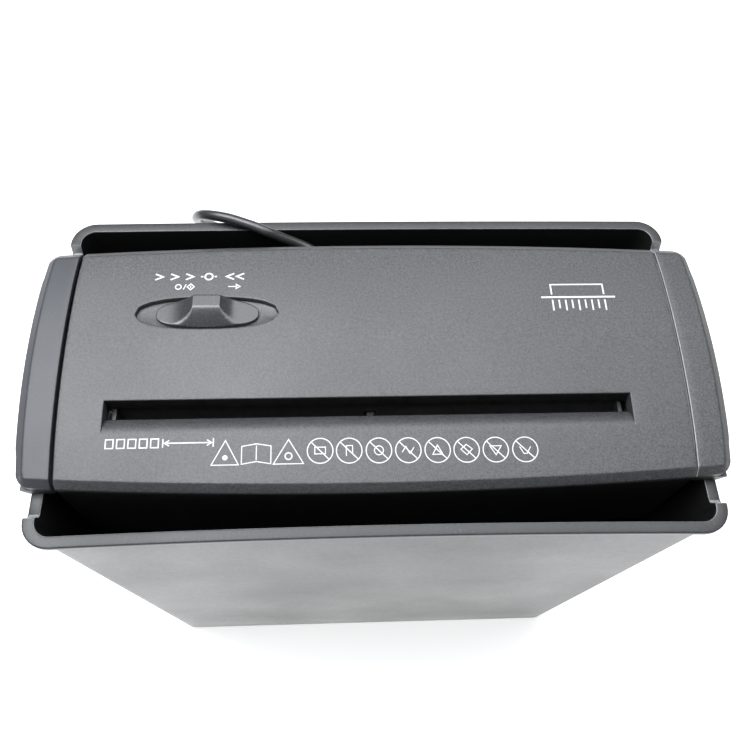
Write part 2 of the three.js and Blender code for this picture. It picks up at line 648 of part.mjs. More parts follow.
function gear(centre, teeth, module, bore, phase, x0, x1) {
  const geometry = extrudeX(gearShape(teeth, module, bore, phase), x0, x1, { curveSegments: 12 });
  return solid(geometry.translate(0, centre.y, centre.z));
}

// Tooth phases that put two wheels in mesh: a tooth of the first points at a gap of the second.
function meshPhases(first, second, secondTeeth) {
  const towards = Math.atan2(second.z - first.z, second.y - first.y);
  return [towards, towards + Math.PI + Math.PI / secondTeeth];
}

// ---------------------------------------------------------------- cutters
// Discs on one shaft: every second strip width, starting from the first or the second.
function cutter(centre, start, x0, x1) {
  const left = SLOT_X - PACK_HALF;
  const profile = [[0, x0], [SHAFT_RADIUS, x0], [SHAFT_RADIUS, left - 0.6], [DISC_CORE, left - 0.6]];
  for (let i = start; i < STRIP_COUNT; i += 2) {
    const from = left + i * STRIP_WIDTH + DISC_SIDE_GAP;
    const to = left + (i + 1) * STRIP_WIDTH - DISC_SIDE_GAP;
    profile.push([DISC_CORE, from], [DISC_RADIUS, from], [DISC_RADIUS, to], [DISC_CORE, to]);
  }
  const right = left + STRIP_COUNT * STRIP_WIDTH + 0.6;
  profile.push([DISC_CORE, right], [SHAFT_RADIUS, right], [SHAFT_RADIUS, x1], [0, x1]);
  const points = profile.map(([radius, x]) => new THREE.Vector2(radius, x));
  const lathe = new THREE.LatheGeometry(points, 12);
  const turn = new THREE.Matrix4().makeBasis(
    new THREE.Vector3(0, 1, 0),
    new THREE.Vector3(1, 0, 0),
    new THREE.Vector3(0, 0, -1),
  );
  return solid(lathe.applyMatrix4(turn).translate(0, centre.y, centre.z));
}

// A comb: a bar under one shaft, with a finger in each space between that shaft's discs.
function comb(centre, start) {
  const left = SLOT_X - PACK_HALF;
  const barTop = centre.z - DISC_RADIUS - COMB.below;
  const barX0 = LEFT_PLATE_X + PLATE + SEAT_GAP;
  const barX1 = RIGHT_PLATE_X - SEAT_GAP;
  const half = COMB.finger / 2;
  let piece = box(
    barX0, barX1,
    centre.y - COMB.bar / 2, centre.y + COMB.bar / 2,
    barTop - COMB.height, barTop,
  );
  for (let i = start; i < STRIP_COUNT; i += 2) {
    const from = left + i * STRIP_WIDTH + COMB.sideGap;
    const to = left + (i + 1) * STRIP_WIDTH - COMB.sideGap;
    const tip = centre.z - DISC_CORE - COMB.tipGap;
    piece = piece.add(box(from, to, centre.y - half, centre.y + half, barTop - 1, tip));
  }
  return piece;
}

// ---------------------------------------------------------------- side plates
const PLATE_BOTTOM_Z = NIP_Z - 26;
const PLATE_TOP_Z = LEDGE_Z - 1.6;

function sidePlate(x0, backY, holes) {
  const outline = plan([
    [FRONT_SHAFT.y - 11, PLATE_BOTTOM_Z],
    [backY, PLATE_BOTTOM_Z],
    [backY, PLATE_TOP_Z],
    [FRONT_SHAFT.y - 11, PLATE_TOP_Z],
  ]);
  for (const { y, z, radius } of holes) {
    const hole = new THREE.Path();
    hole.absarc(y, z, radius, 0, 2 * Math.PI, true);
    outline.holes.push(hole);
  }
  return solid(extrudeX(outline, x0, x0 + PLATE, { curveSegments: 8 }));
}

const BUSH_HOLES = [FRONT_SHAFT, REAR_SHAFT].map((c) => ({ ...c, radius: BUSH.radius + SEAT_GAP }));
const ROD_HOLES = RODS.map((c) => ({ ...c, radius: ROD_RADIUS + SEAT_GAP }));
const GEAR_HOLES = [
  { ...SECOND_GEAR, radius: AXLE_RADIUS + SEAT_GAP },
  { ...FIRST_GEAR, radius: AXLE_RADIUS + SEAT_GAP },
  { y: MOTOR.y, z: MOTOR.z, radius: 5 },
];

// A flanged bush; its flange lies against the plate's inner face.
function bush(centre, plateX, side) {
  const inner = side > 0 ? plateX : plateX + PLATE;
  const flangeAt = inner - side * SEAT_GAP;
  const [f0, f1] = [flangeAt, flangeAt - side * BUSH.flangeThick].sort((a, b) => a - b);
  return cylinderX(centre, BUSH.radius, Math.min(f0, plateX), Math.max(f1, plateX + PLATE), 16)
    .add(cylinderX(centre, BUSH.flange, f0, f1, 16))
    .subtract(cylinderX(centre, SHAFT_RADIUS + RUN_GAP, plateX - 9, plateX + 11, 12));
}

// ---------------------------------------------------------------- small electrical parts
const BOARD_Z = HOUSING_BOTTOM_Z + 12;
const BOARD_THICK = 1.6;
const BOARD_X0 = -104;
const BOARD_X1 = -22;
const BOARD_Y0 = NIP_Y + 39;
const BOARD_Y1 = NIP_Y + 73;
const BOARD_POSTS_X = [BOARD_X0 + 8, BOARD_X1 - 8];
const ON_BOARD_Z = BOARD_Z + BOARD_THICK + SEAT_GAP;

// ---------------------------------------------------------------- paper sensor
const LEVER = { x: SLOT_X, y: NIP_Y + 10.6, z: NIP_Z + 21, reach: 12.5, half: 1.5, thick: 1.2, pin: 1.2, pinHalf: 6.5 };

function sensorLever() {
  const { x, y, z, reach, half, thick, pin, pinHalf } = LEVER;
  return box(x - half, x + half, y - reach, y, z - thick, z + thick)
    .add(cylinderX({ y, z }, pin, x - pinHalf, x + pinHalf, 12))
    .add(cylinderX({ y, z }, pin + 1, x - half, x + half, 12));
}

function sensorSwitch() {
  const { x, y, z, pin, pinHalf } = LEVER;
  const bodyY = y + 4;
  const half = pinHalf + 2;
  let piece = box(x - half, x + half, bodyY, bodyY + 8, z - 5, z + 2.5);
  for (const side of [-1, 1]) {
    const [x0, x1] = [x + side * half, x + side * (half - 3)].sort((a, b) => a - b);
    piece = piece
      .add(box(x0, x1, y - 2.6, bodyY + 1, z - 2.6, z + 2.5))
      .subtract(cylinderX({ y, z }, pin + RUN_GAP, x0 - 1, x1 + 1, 16));
  }
  return piece;
}

// ---------------------------------------------------------------- paper guide above the cutters
function paperGuide() {
  const top = THROAT_BOTTOM_Z - SEAT_GAP;
  const bottom = top - GUIDE_HEIGHT;
  const half = GUIDE_MOUTH / 2 + GUIDE_WALL;
  const x0 = LEFT_PLATE_X + PLATE + SEAT_GAP;
  const x1 = RIGHT_PLATE_X - SEAT_GAP;
  const funnel = plan([
    [NIP_Y - GUIDE_NIP / 2, bottom - 1],
    [NIP_Y + GUIDE_NIP / 2, bottom - 1],
    [NIP_Y + GUIDE_NIP / 2, bottom + 1],
    [NIP_Y + GUIDE_MOUTH / 2, top + 0.5],
    [NIP_Y - GUIDE_MOUTH / 2, top + 0.5],
    [NIP_Y - GUIDE_NIP / 2, bottom + 1],
  ]);
  const { x, y, z, half: leverHalf, pinHalf } = LEVER;
  const window = box(x - leverHalf - 1, x + leverHalf + 1, NIP_Y, NIP_Y + half + 1, bottom - 1, z + 2.6);
  const bayHalf = pinHalf + 2 + SEAT_GAP;
  const sensorBay = box(x - bayHalf, x + bayHalf, y - 3.2, NIP_Y + half + 1, bottom - 1, z + 3);
  return box(x0, x1, NIP_Y - half, NIP_Y + half, bottom, top)
    .subtract(solid(extrudeX(funnel, x0 + 1.5, x1 - 1.5)))
    .subtract(window)
    .subtract(sensorBay);
}

// ---------------------------------------------------------------- motor
const MOTOR_X1 = RIGHT_PLATE_X - SEAT_GAP;
const MOTOR_X0 = MOTOR_X1 - MOTOR.length;

function motorCradle() {
  const floorZ = HOUSING_BOTTOM_Z + HOUSING_WALL + SEAT_GAP;
  const x = (MOTOR_X0 + MOTOR_X1) / 2;
  return box(x - 8, x + 8, MOTOR.y - 15, MOTOR.y + 13, floorZ, MOTOR.z - 4)
    .subtract(cylinderX(MOTOR, MOTOR.radius + SEAT_GAP, x - 9, x + 9, 24));
}

// ---------------------------------------------------------------- cord
function tube(points) {
  const path = new THREE.CatmullRomCurve3(points.map(([x, y, z]) => new THREE.Vector3(x, y, z)));
  const section = new THREE.Shape();
  section.absarc(0, 0, CORD_RADIUS, 0, 2 * Math.PI);
  const steps = points.length > 10 ? CORD_STEPS : 4;
  const options = { steps, extrudePath: path, bevelEnabled: false, curveSegments: CORD_SIDES / 2 };
  return solid(new THREE.ExtrudeGeometry(section, options));
}

// The tapered relief, from the housing's back wall to the cord's first point.
function strainRelief() {
  const [first, second] = CORD_POINTS.map(([x, y, z]) => new THREE.Vector3(x, y, z));
  const out = second.clone().sub(first).normalize();
  const tip = first.clone().addScaledVector(out, -SEAT_GAP);
  const profile = [[0, 0], [RELIEF.root, 0], [RELIEF.root, 3], [RELIEF.tip, RELIEF.length], [0, RELIEF.length]];
  const cone = new THREE.LatheGeometry(profile.map(([r, y]) => new THREE.Vector2(r, y)), 14);
  const turn = new THREE.Quaternion().setFromUnitVectors(new THREE.Vector3(0, 1, 0), out);
  cone.applyQuaternion(turn);
  const root = tip.clone().addScaledVector(out, -RELIEF.length);
  cone.translate(root.x, root.y, root.z);
  return solid(cone).subtract(housingBlock(-SEAT_GAP, HOUSING_BOTTOM_Z, HOUSING_TOP_Z));
}

function plugBody() {
  const { x, width, thick, relief, body } = PLUG;
  const y = CORD_POINTS[CORD_POINTS.length - 1][1];
  const outline = plan([
    [x, y - 3.6],
    [x + relief, y - 5],
    [x + relief + 5, y - width / 2],
    [x + relief + body, y - width / 2],
    [x + relief + body, y + width / 2],
    [x + relief + 5, y + width / 2],
    [x + relief, y + 5],
    [x, y + 3.6],
  ]);
  let piece = solid(extrudeZ(outline, 0.3, 0.3 + thick));
  for (const side of [-1, 1]) {
    const pin = { y: y + side * PLUG.pinSpan / 2, z: 0.3 + thick / 2 };
    piece = piece.subtract(cylinderX(pin, PLUG.pinRadius + SEAT_GAP, x + relief + body - 6, x + relief + body + 1, 10));
  }
  return piece;
}

// ---------------------------------------------------------------- assembly
add("waste_bin", wasteBin(), BIN_PLASTIC);
add("top_cover", topCover(), COVER_PLASTIC);
add("right_end_cap", SHELL.intersect(betweenSeams(SEAM_HALF + RIGHT_SEAM, HEAD_HALF_X + 20)), COVER_PLASTIC);
add("lower_housing", lowerHousing(), HOUSING_PLASTIC);
add("extension_arm", extensionArm(), ARM_PLASTIC);
add("arm_end_cap", SHELL.intersect(betweenSeams(-HEAD_HALF_X - 20, -SEAM_HALF - ARM_GAP)), ARM_PLASTIC);
add("switch_slider", switchSlider(), SLIDER_PLASTIC);
add("mode_switch", modeSwitch(), HOUSING_PLASTIC);
add("paper_guide", paperGuide(), HOUSING_PLASTIC);
add("sensor_switch", sensorSwitch(), HOUSING_PLASTIC);
add("paper_sensor_lever", sensorLever(), WHITE_NYLON);

const leftHoles = [...BUSH_HOLES, ...ROD_HOLES];
add("left_side_plate", sidePlate(LEFT_PLATE_X, NIP_Y + 33, leftHoles), STEEL);
add("right_side_plate", sidePlate(RIGHT_PLATE_X, NIP_Y + 74, [...leftHoles, ...GEAR_HOLES]), STEEL);
RODS.forEach((rod, i) => {
  const x0 = LEFT_PLATE_X - 1.2;
  add(`tie_rod_${i + 1}`, cylinderX(rod, ROD_RADIUS, x0, RIGHT_PLATE_X + PLATE + 0.9, 12), STEEL);
});
add("front_stripper_comb", comb(FRONT_SHAFT, 1), HOUSING_PLASTIC);
add("rear_stripper_comb", comb(REAR_SHAFT, 0), HOUSING_PLASTIC);
for (const [end, plateX, side] of [["left", LEFT_PLATE_X, -1], ["right", RIGHT_PLATE_X, 1]]) {
  add(`front_${end}_bush`, bush(FRONT_SHAFT, plateX, side), WHITE_NYLON);
  add(`rear_${end}_bush`, bush(REAR_SHAFT, plateX, side), WHITE_NYLON);
}

const syncX1 = LEFT_PLATE_X - 1.6;
const syncX0 = syncX1 - GEAR_FACE;
const shaftEnd = syncX0 - 1;
add("front_cutter", cutter(FRONT_SHAFT, 0, shaftEnd, RIGHT_PLATE_X + PLATE + 1), CUTTER_STEEL);
add("rear_cutter", cutter(REAR_SHAFT, 1, shaftEnd, LAYER_X[0] + GEAR_FACE + 0.6), CUTTER_STEEL);

const shaftBore = SHAFT_RADIUS + SEAT_GAP;
const axleBore = AXLE_RADIUS + RUN_GAP;
const [frontSync, rearSync] = meshPhases(FRONT_SHAFT, REAR_SHAFT, SYNC.teeth);
add("front_sync_gear", gear(FRONT_SHAFT, SYNC.teeth, SYNC.module, shaftBore, frontSync, syncX0, syncX1), STEEL);
add("rear_sync_gear", gear(REAR_SHAFT, SYNC.teeth, SYNC.module, shaftBore, rearSync, syncX0, syncX1), STEEL);

const [thirdPinion, thirdWheel] = meshPhases(SECOND_GEAR, REAR_SHAFT, STAGE_3.gear);
const [secondPinion, secondWheel] = meshPhases(FIRST_GEAR, SECOND_GEAR, STAGE_2.gear);
const [firstPinion, firstWheel] = meshPhases(MOTOR, FIRST_GEAR, STAGE_1.gear);
const layerEnd = LAYER_X.map((x) => x + GEAR_FACE);
add(
  "cutter_gear",
  gear(REAR_SHAFT, STAGE_3.gear, STAGE_3.module, shaftBore, thirdWheel, LAYER_X[0], layerEnd[0]),
  STEEL,
);
add(
  "second_reduction_gear",
  gear(SECOND_GEAR, STAGE_3.pinion, STAGE_3.module, axleBore, thirdPinion, LAYER_X[0], LAYER_X[1] + 0.5)
    .add(gear(SECOND_GEAR, STAGE_2.gear, STAGE_2.module, axleBore, secondWheel, LAYER_X[1], layerEnd[1])),
  WHITE_NYLON,
);
add(
  "first_reduction_gear",
  gear(FIRST_GEAR, STAGE_2.pinion, STAGE_2.module, axleBore, secondPinion, LAYER_X[0], LAYER_X[2] + 0.5)
    .add(gear(FIRST_GEAR, STAGE_1.gear, STAGE_1.module, axleBore, firstWheel, LAYER_X[2], layerEnd[2])),
  WHITE_NYLON,
);
const pinionBore = MOTOR.shaft + SEAT_GAP;
add(
  "motor_pinion",
  gear(MOTOR, STAGE_1.pinion, STAGE_1.module, pinionBore, firstPinion, LAYER_X[2], layerEnd[2]),
  BRASS,
);
add("motor_shaft", cylinderX(MOTOR, MOTOR.shaft, MOTOR_X1 - 12, layerEnd[2] + 0.3, 12), STEEL);
const shaftWell = cylinderX(MOTOR, MOTOR.shaft + RUN_GAP, MOTOR_X1 - 13, MOTOR_X1 + 1, 16);
add("motor_can", cylinderX(MOTOR, MOTOR.radius, MOTOR_X0, MOTOR_X1, 24).subtract(shaftWell), STEEL);
const capX1 = MOTOR_X0 - SEAT_GAP;
add("motor_end_cap", cylinderX(MOTOR, MOTOR.radius - 0.8, capX1 - MOTOR.endCap, capX1, 24), WHITE_NYLON);
add("motor_cradle", motorCradle(), HOUSING_PLASTIC);
const axleX0 = RIGHT_PLATE_X - 0.8;
const axleX1 = GEARBOX_COVER_X + 1.2;
add("second_gear_axle", cylinderX(SECOND_GEAR, AXLE_RADIUS, axleX0, axleX1, 12), STEEL);
add("first_gear_axle", cylinderX(FIRST_GEAR, AXLE_RADIUS, axleX0, axleX1, 12), STEEL);

function gearboxCover() {
  const x0 = GEARBOX_COVER_X;
  const [y0, y1] = [SECOND_GEAR.y - 7, MOTOR.y + 9];
  let piece = box(x0, x0 + 1.4, y0, y1, FIRST_GEAR.z - 8, MOTOR.z + 8);
  for (const axle of [SECOND_GEAR, FIRST_GEAR]) {
    piece = piece.subtract(cylinderX(axle, AXLE_RADIUS + SEAT_GAP, x0 - 1, x0 + 3, 16));
  }
  const postY = MOTOR.y + 8;
  return piece.add(box(RIGHT_PLATE_X + PLATE + SEAT_GAP, x0 + 1.4, postY - 2, postY + 1, MOTOR.z + 1, MOTOR.z + 8));
}
add("gearbox_cover", gearboxCover(), HOUSING_PLASTIC);

add("circuit_board", box(BOARD_X0, BOARD_X1, BOARD_Y0, BOARD_Y1, BOARD_Z, BOARD_Z + BOARD_THICK), BOARD);
add(
  "suppression_capacitor",
  box(BOARD_X0 + 10, BOARD_X0 + 28, BOARD_Y0 + 8, BOARD_Y0 + 17, ON_BOARD_Z, ON_BOARD_Z + 14),
  YELLOW_FILM,
);
add("relay", box(BOARD_X0 + 40, BOARD_X0 + 59, BOARD_Y0 + 8, BOARD_Y0 + 23, ON_BOARD_Z, ON_BOARD_Z + 15), HOUSING_PLASTIC);
add("fuse", cylinderX({ y: BOARD_Y1 - 6, z: ON_BOARD_Z + 2.6 }, 2.6, BOARD_X0 + 12, BOARD_X0 + 32, 12), BRASS);

add("strain_relief", strainRelief(), CORD_RUBBER);
add("power_cord", tube(CORD_POINTS), CORD_RUBBER);
add("cord_tail", tube(TAIL_POINTS), CORD_RUBBER);
const ring = [
  [COIL.inner, COIL.bottom],
  [COIL.outer, COIL.bottom],
  [COIL.outer, COIL.top],
  [COIL.inner, COIL.top],
  [COIL.inner, COIL.bottom],
].map(([r, z]) => new THREE.Vector2(r, z));
const coil = new THREE.LatheGeometry(ring, 28).rotateX(Math.PI / 2).translate(COIL.x, COIL.y, 0);
add("cord_coil", solid(coil), CORD_RUBBER);
add("mains_plug", plugBody(), CORD_RUBBER);
for (const [name, side] of [["plug_pin_front", -1], ["plug_pin_back", 1]]) {
  const y = CORD_POINTS[CORD_POINTS.length - 1][1] + (side * PLUG.pinSpan) / 2;
  const face = PLUG.x + PLUG.relief + PLUG.body;
  const pin = { y, z: 0.3 + PLUG.thick / 2 };
  add(name, cylinderX(pin, PLUG.pinRadius, face - 5.7, face + PLUG.pin, 10), BRASS);
}

BOSSES.forEach(([x, y], i) => {
  const headTop = BOSS_SPLIT_Z - 3 - SEAT_GAP;
  const screw = cylinderZ(x, y, SCREW.headRadius, headTop - SCREW.headHeight, headTop, 12)
    .add(cylinderZ(x, y, SCREW.radius, headTop - 1, headTop - 1 + SCREW.length - 2, 8));
  add(`housing_screw_${i + 1}`, screw, STEEL);
});

export default model;
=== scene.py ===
"""Desktop paper shredder: a strip-cut cutting head lying in the notches of a tapered waste bin.

Sizes are written in millimetres and turned into metres where a mesh is made. +Z is up and the front faces -Y.
"""
import math

import bmesh
import bpy
import numpy as np
from mathutils import Matrix, Vector


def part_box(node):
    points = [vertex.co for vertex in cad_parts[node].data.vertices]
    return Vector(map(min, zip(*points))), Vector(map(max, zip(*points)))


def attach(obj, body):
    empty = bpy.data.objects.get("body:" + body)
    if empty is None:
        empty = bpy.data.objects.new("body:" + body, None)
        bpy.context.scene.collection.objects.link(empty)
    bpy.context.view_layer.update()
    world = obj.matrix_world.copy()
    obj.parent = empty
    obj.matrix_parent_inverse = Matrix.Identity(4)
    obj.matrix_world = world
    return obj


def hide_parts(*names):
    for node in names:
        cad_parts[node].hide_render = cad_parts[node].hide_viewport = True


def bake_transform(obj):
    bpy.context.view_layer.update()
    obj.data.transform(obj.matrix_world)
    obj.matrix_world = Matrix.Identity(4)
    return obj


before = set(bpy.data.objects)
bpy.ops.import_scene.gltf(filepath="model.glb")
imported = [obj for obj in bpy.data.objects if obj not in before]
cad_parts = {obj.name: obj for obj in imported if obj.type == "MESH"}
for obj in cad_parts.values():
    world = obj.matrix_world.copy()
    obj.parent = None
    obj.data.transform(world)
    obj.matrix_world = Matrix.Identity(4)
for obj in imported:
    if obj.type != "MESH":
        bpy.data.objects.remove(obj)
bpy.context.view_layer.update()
MM = 0.001


def show(name, data):
    """A new object in the scene for a mesh, light or camera."""
    thing = bpy.data.objects.new(name, data)
    bpy.context.scene.collection.objects.link(thing)
    return thing


def new_finish(name):
    """A material, its node tree and its main shader."""
    finish = bpy.data.materials.new(name)
    finish.use_nodes = True
    return finish, finish.node_tree, finish.node_tree.nodes["Principled BSDF"]


def box_mm(node):
    """Lowest and highest corner of a CAD part, in millimetres."""
    low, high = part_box(node)
    return low / MM, high / MM


# ------------------------------------------------------------------ camera, light and floor
CAMERA_AT = (-16.6, -167.4, 579.5)
CAMERA_YAW = math.radians(5.62)
CAMERA_PITCH = math.radians(62.36)
CAMERA_ROLL = math.radians(4.17)
CAMERA_LENS = 38.03
LIGHT_COLOUR = (0.955, 0.975, 1.0)
ROOM_LIGHT = 0.22
FLOOR_SEEN = 0.62
FLOOR_REFLECTED = 1.1


def place_camera():
    """Looks down on the head from just in front of the bin."""
    forward = Vector((math.sin(CAMERA_YAW), math.cos(CAMERA_YAW), 0))
    ahead = forward * math.cos(CAMERA_PITCH) + Vector((0, 0, -math.sin(CAMERA_PITCH)))
    level = Vector((math.cos(CAMERA_YAW), -math.sin(CAMERA_YAW), 0))
    above = level.cross(ahead)
    right = math.cos(CAMERA_ROLL) * level + math.sin(CAMERA_ROLL) * above
    up = math.cos(CAMERA_ROLL) * above - math.sin(CAMERA_ROLL) * level
    lens = bpy.data.cameras.new("studio_camera")
    lens.sensor_width = 36
    lens.lens = CAMERA_LENS
    lens.clip_start = 0.01
    camera = show("studio_camera", lens)
    turn = Matrix((right, up, -ahead)).transposed().to_4x4()
    camera.matrix_world = Matrix.Translation(Vector(CAMERA_AT) * MM) @ turn
    bpy.context.scene.camera = camera


def softbox(name, at, aim, width, height, power):
    """A rectangular soft light, at one point and facing another, in metres."""
    light = bpy.data.lights.new(name, "AREA")
    light.shape = "RECTANGLE"
    light.size = width
    light.size_y = height
    light.energy = power
    light.color = LIGHT_COLOUR
    lamp = show(name, light)
    lamp.location = at
    lamp.rotation_euler = (Vector(aim) - Vector(at)).to_track_quat("-Z", "Y").to_euler()


def light_studio():
    """One broad soft light overhead, a smaller one at the left, a weak one in front, and a pale room."""
    softbox("overhead_softbox", (-0.1, 0.31, 1.5), (0, 0, 0.27), 1.8, 1.2, 27)
    softbox("left_softbox", (-0.5, 0.16, 1.4), (-0.1, 0, 0.27), 0.7, 0.6, 9)
    softbox("front_fill", (-0.9, -1.3, 1.0), (0, 0, 0.15), 1.0, 0.8, 1.5)
    world = bpy.data.worlds.new("pale_room")
    bpy.context.scene.world = world
    world.use_nodes = True
    nodes, links = world.node_tree.nodes, world.node_tree.links
    nodes.clear()
    seen = nodes.new("ShaderNodeBackground")
    seen.inputs["Color"].default_value = (1, 1, 1, 1)
    seen.inputs["Strength"].default_value = 1.0
    lit = nodes.new("ShaderNodeBackground")
    lit.inputs["Color"].default_value = (0.97, 0.985, 1.0, 1)
    lit.inputs["Strength"].default_value = ROOM_LIGHT
    ray = nodes.new("ShaderNodeLightPath")
    mix = nodes.new("ShaderNodeMixShader")
    out = nodes.new("ShaderNodeOutputWorld")
    links.new(ray.outputs["Is Camera Ray"], mix.inputs[0])
    links.new(lit.outputs[0], mix.inputs[1])
    links.new(seen.outputs[0], mix.inputs[2])
    links.new(mix.outputs[0], out.inputs[0])


def lay_floor():
    """A plain pale floor that keeps the bin's soft shadow."""
    mesh = bpy.data.meshes.new("studio_floor")
    mesh.from_pydata([(-4, -4, 0), (4, -4, 0), (4, 4, 0), (-4, 4, 0)], [], [(0, 1, 2, 3)])
    floor = show("studio_floor", mesh)
    finish, tree, shader = new_finish("floor_paper")
    nodes, links = tree.nodes, tree.links
    shader.inputs["Base Color"].default_value = (0.9, 0.9, 0.9, 1)
    shader.inputs["Roughness"].default_value = 0.9
    shader.inputs["Emission Color"].default_value = (1, 1, 1, 1)
    ray = nodes.new("ShaderNodeLightPath")
    seen = nodes.new("ShaderNodeMath")
    seen.operation = "MULTIPLY"
    seen.inputs[1].default_value = FLOOR_SEEN
    links.new(ray.outputs["Is Camera Ray"], seen.inputs[0])
    glow = nodes.new("ShaderNodeMath")
    glow.operation = "MULTIPLY_ADD"
    glow.inputs[1].default_value = FLOOR_REFLECTED
    links.new(ray.outputs["Is Glossy Ray"], glow.inputs[0])
    links.new(seen.outputs[0], glow.inputs[2])
    links.new(glow.outputs[0], shader.inputs["Emission Strength"])
    mesh.materials.append(finish)


place_camera()
light_studio()
lay_floor()
bpy.context.scene.view_settings.view_transform = "Standard"


# ------------------------------------------------------------------ shared surface effects
def effect_group(name, inputs, outputs):
    """An empty shader group: inputs as (name, default), outputs as names, all of them numbers."""
    group = bpy.data.node_groups.new(name, "ShaderNodeTree")
    for label, default in inputs:
        socket = group.interface.new_socket(label, in_out="INPUT", socket_type="NodeSocketFloat")
        socket.default_value = default
    for label in outputs:
        group.interface.new_socket(label, in_out="OUTPUT", socket_type="NodeSocketFloat")
    start = group.nodes.new("NodeGroupInput")
    end = group.nodes.new("NodeGroupOutput")
    return group, start, end


def noise(tree, scale, detail, coords, roughness=0.5):
    """A noise texture on the given coordinates; scale is a number or a socket."""
    node = tree.nodes.new("ShaderNodeTexNoise")
    node.inputs["Detail"].default_value = detail
    node.inputs["Roughness"].default_value = roughness
    if isinstance(scale, (int, float)):
        node.inputs["Scale"].default_value = scale
    else:
        tree.links.new(scale, node.inputs["Scale"])
    tree.links.new(coords, node.inputs["Vector"])
    return node.outputs["Fac"]


def maths(tree, operation, first, second):
    """One math node; each side is a number or a socket."""
    node = tree.nodes.new("ShaderNodeMath")
    node.operation = operation
    for socket, value in zip(node.inputs, (first, second)):
        if isinstance(value, (int, float)):
            socket.default_value = value
        else:
            tree.links.new(value, socket)
    return node.outputs[0]


def spread(tree, value, low, high, to_low=0.0, to_high=1.0):
    """Maps one range on to another, held at its ends."""
    node = tree.nodes.new("ShaderNodeMapRange")
    tree.links.new(value, node.inputs["Value"])
    for label, number in (("From Min", low), ("From Max", high), ("To Min", to_low), ("To Max", to_high)):
        node.inputs[label].default_value = number
    return node.outputs[0]


def make_grain_group():
    """Spark-eroded mould grain: fine peaks over a broader mottle, as a height."""
    group, start, end = effect_group("mould_grain", [("Grains per metre", 1500)], ["Height", "Mottle"])
    coords = group.nodes.new("ShaderNodeTexCoord").outputs["Object"]
    size = start.outputs["Grains per metre"]
    fine = noise(group, size, 2.0, coords, 0.6)
    coarse = noise(group, maths(group, "MULTIPLY", size, 0.37), 1.0, coords)
    both = maths(group, "ADD", maths(group, "MULTIPLY", fine, 0.65), maths(group, "MULTIPLY", coarse, 0.35))
    group.links.new(both, end.inputs["Height"])
    group.links.new(spread(group, both, 0.38, 0.62), end.inputs["Mottle"])
    return group


def make_handling_group():
    """Slow changes over a surface: uneven cooling of the moulding, dust and the polish of hands."""
    group, start, end = effect_group("handling", [("Patches per metre", 14)], ["Polish", "Dust"])
    coords = group.nodes.new("ShaderNodeTexCoord").outputs["Object"]
    patches = start.outputs["Patches per metre"]
    group.links.new(spread(group, noise(group, patches, 3.0, coords), 0.3, 0.7), end.inputs["Polish"])
    speck = noise(group, 900, 0.0, coords)
    cloud = noise(group, maths(group, "MULTIPLY", patches, 3.0), 2.0, coords)
    dust = maths(group, "MULTIPLY", spread(group, speck, 0.71, 0.8), spread(group, cloud, 0.45, 0.7))
    group.links.new(dust, end.inputs["Dust"])
    return group


def make_edge_group():
    """Rubbed edges: a mask that follows sharp outer edges, broken up so that it isn't even."""
    group, start, end = effect_group("edge_rub", [("Reach", 0.06)], ["Mask"])
    coords = group.nodes.new("ShaderNodeTexCoord").outputs["Object"]
    point = group.nodes.new("ShaderNodeNewGeometry").outputs["Pointiness"]
    over = maths(group, "SUBTRACT", point, 0.5)
    lifted = maths(group, "DIVIDE", over, start.outputs["Reach"])
    broken = spread(group, noise(group, 220, 3.0, coords), 0.35, 0.65, 0.2, 1.0)
    group.links.new(maths(group, "MULTIPLY", spread(group, lifted, 0.15, 1.0), broken), end.inputs["Mask"])
    return group


GRAIN = make_grain_group()
HANDLING = make_handling_group()
EDGE_RUB = make_edge_group()


def place_group(tree, group, **values):
    node = tree.nodes.new("ShaderNodeGroup")
    node.node_tree = group
    for label, value in values.items():
        node.inputs[label.replace("_", " ")].default_value = value
    return node


def blend_colours(tree, fac, first, second):
    """Mixes two colours; each is a tuple or a socket."""
    node = tree.nodes.new("ShaderNodeMix")
    node.data_type = "RGBA"
    tree.links.new(fac, node.inputs["Factor"])
    for socket, colour in ((node.inputs[6], first), (node.inputs[7], second)):
        if isinstance(colour, tuple):
            socket.default_value = (*colour, 1)
        else:
            tree.links.new(colour, socket)
    return node.outputs[2]


def bump(tree, shader, height, strength, distance):
    node = tree.nodes.new("ShaderNodeBump")
    node.inputs["Strength"].default_value = strength
    node.inputs["Distance"].default_value = distance
    tree.links.new(height, node.inputs["Height"])
    tree.links.new(node.outputs["Normal"], shader.inputs["Normal"])


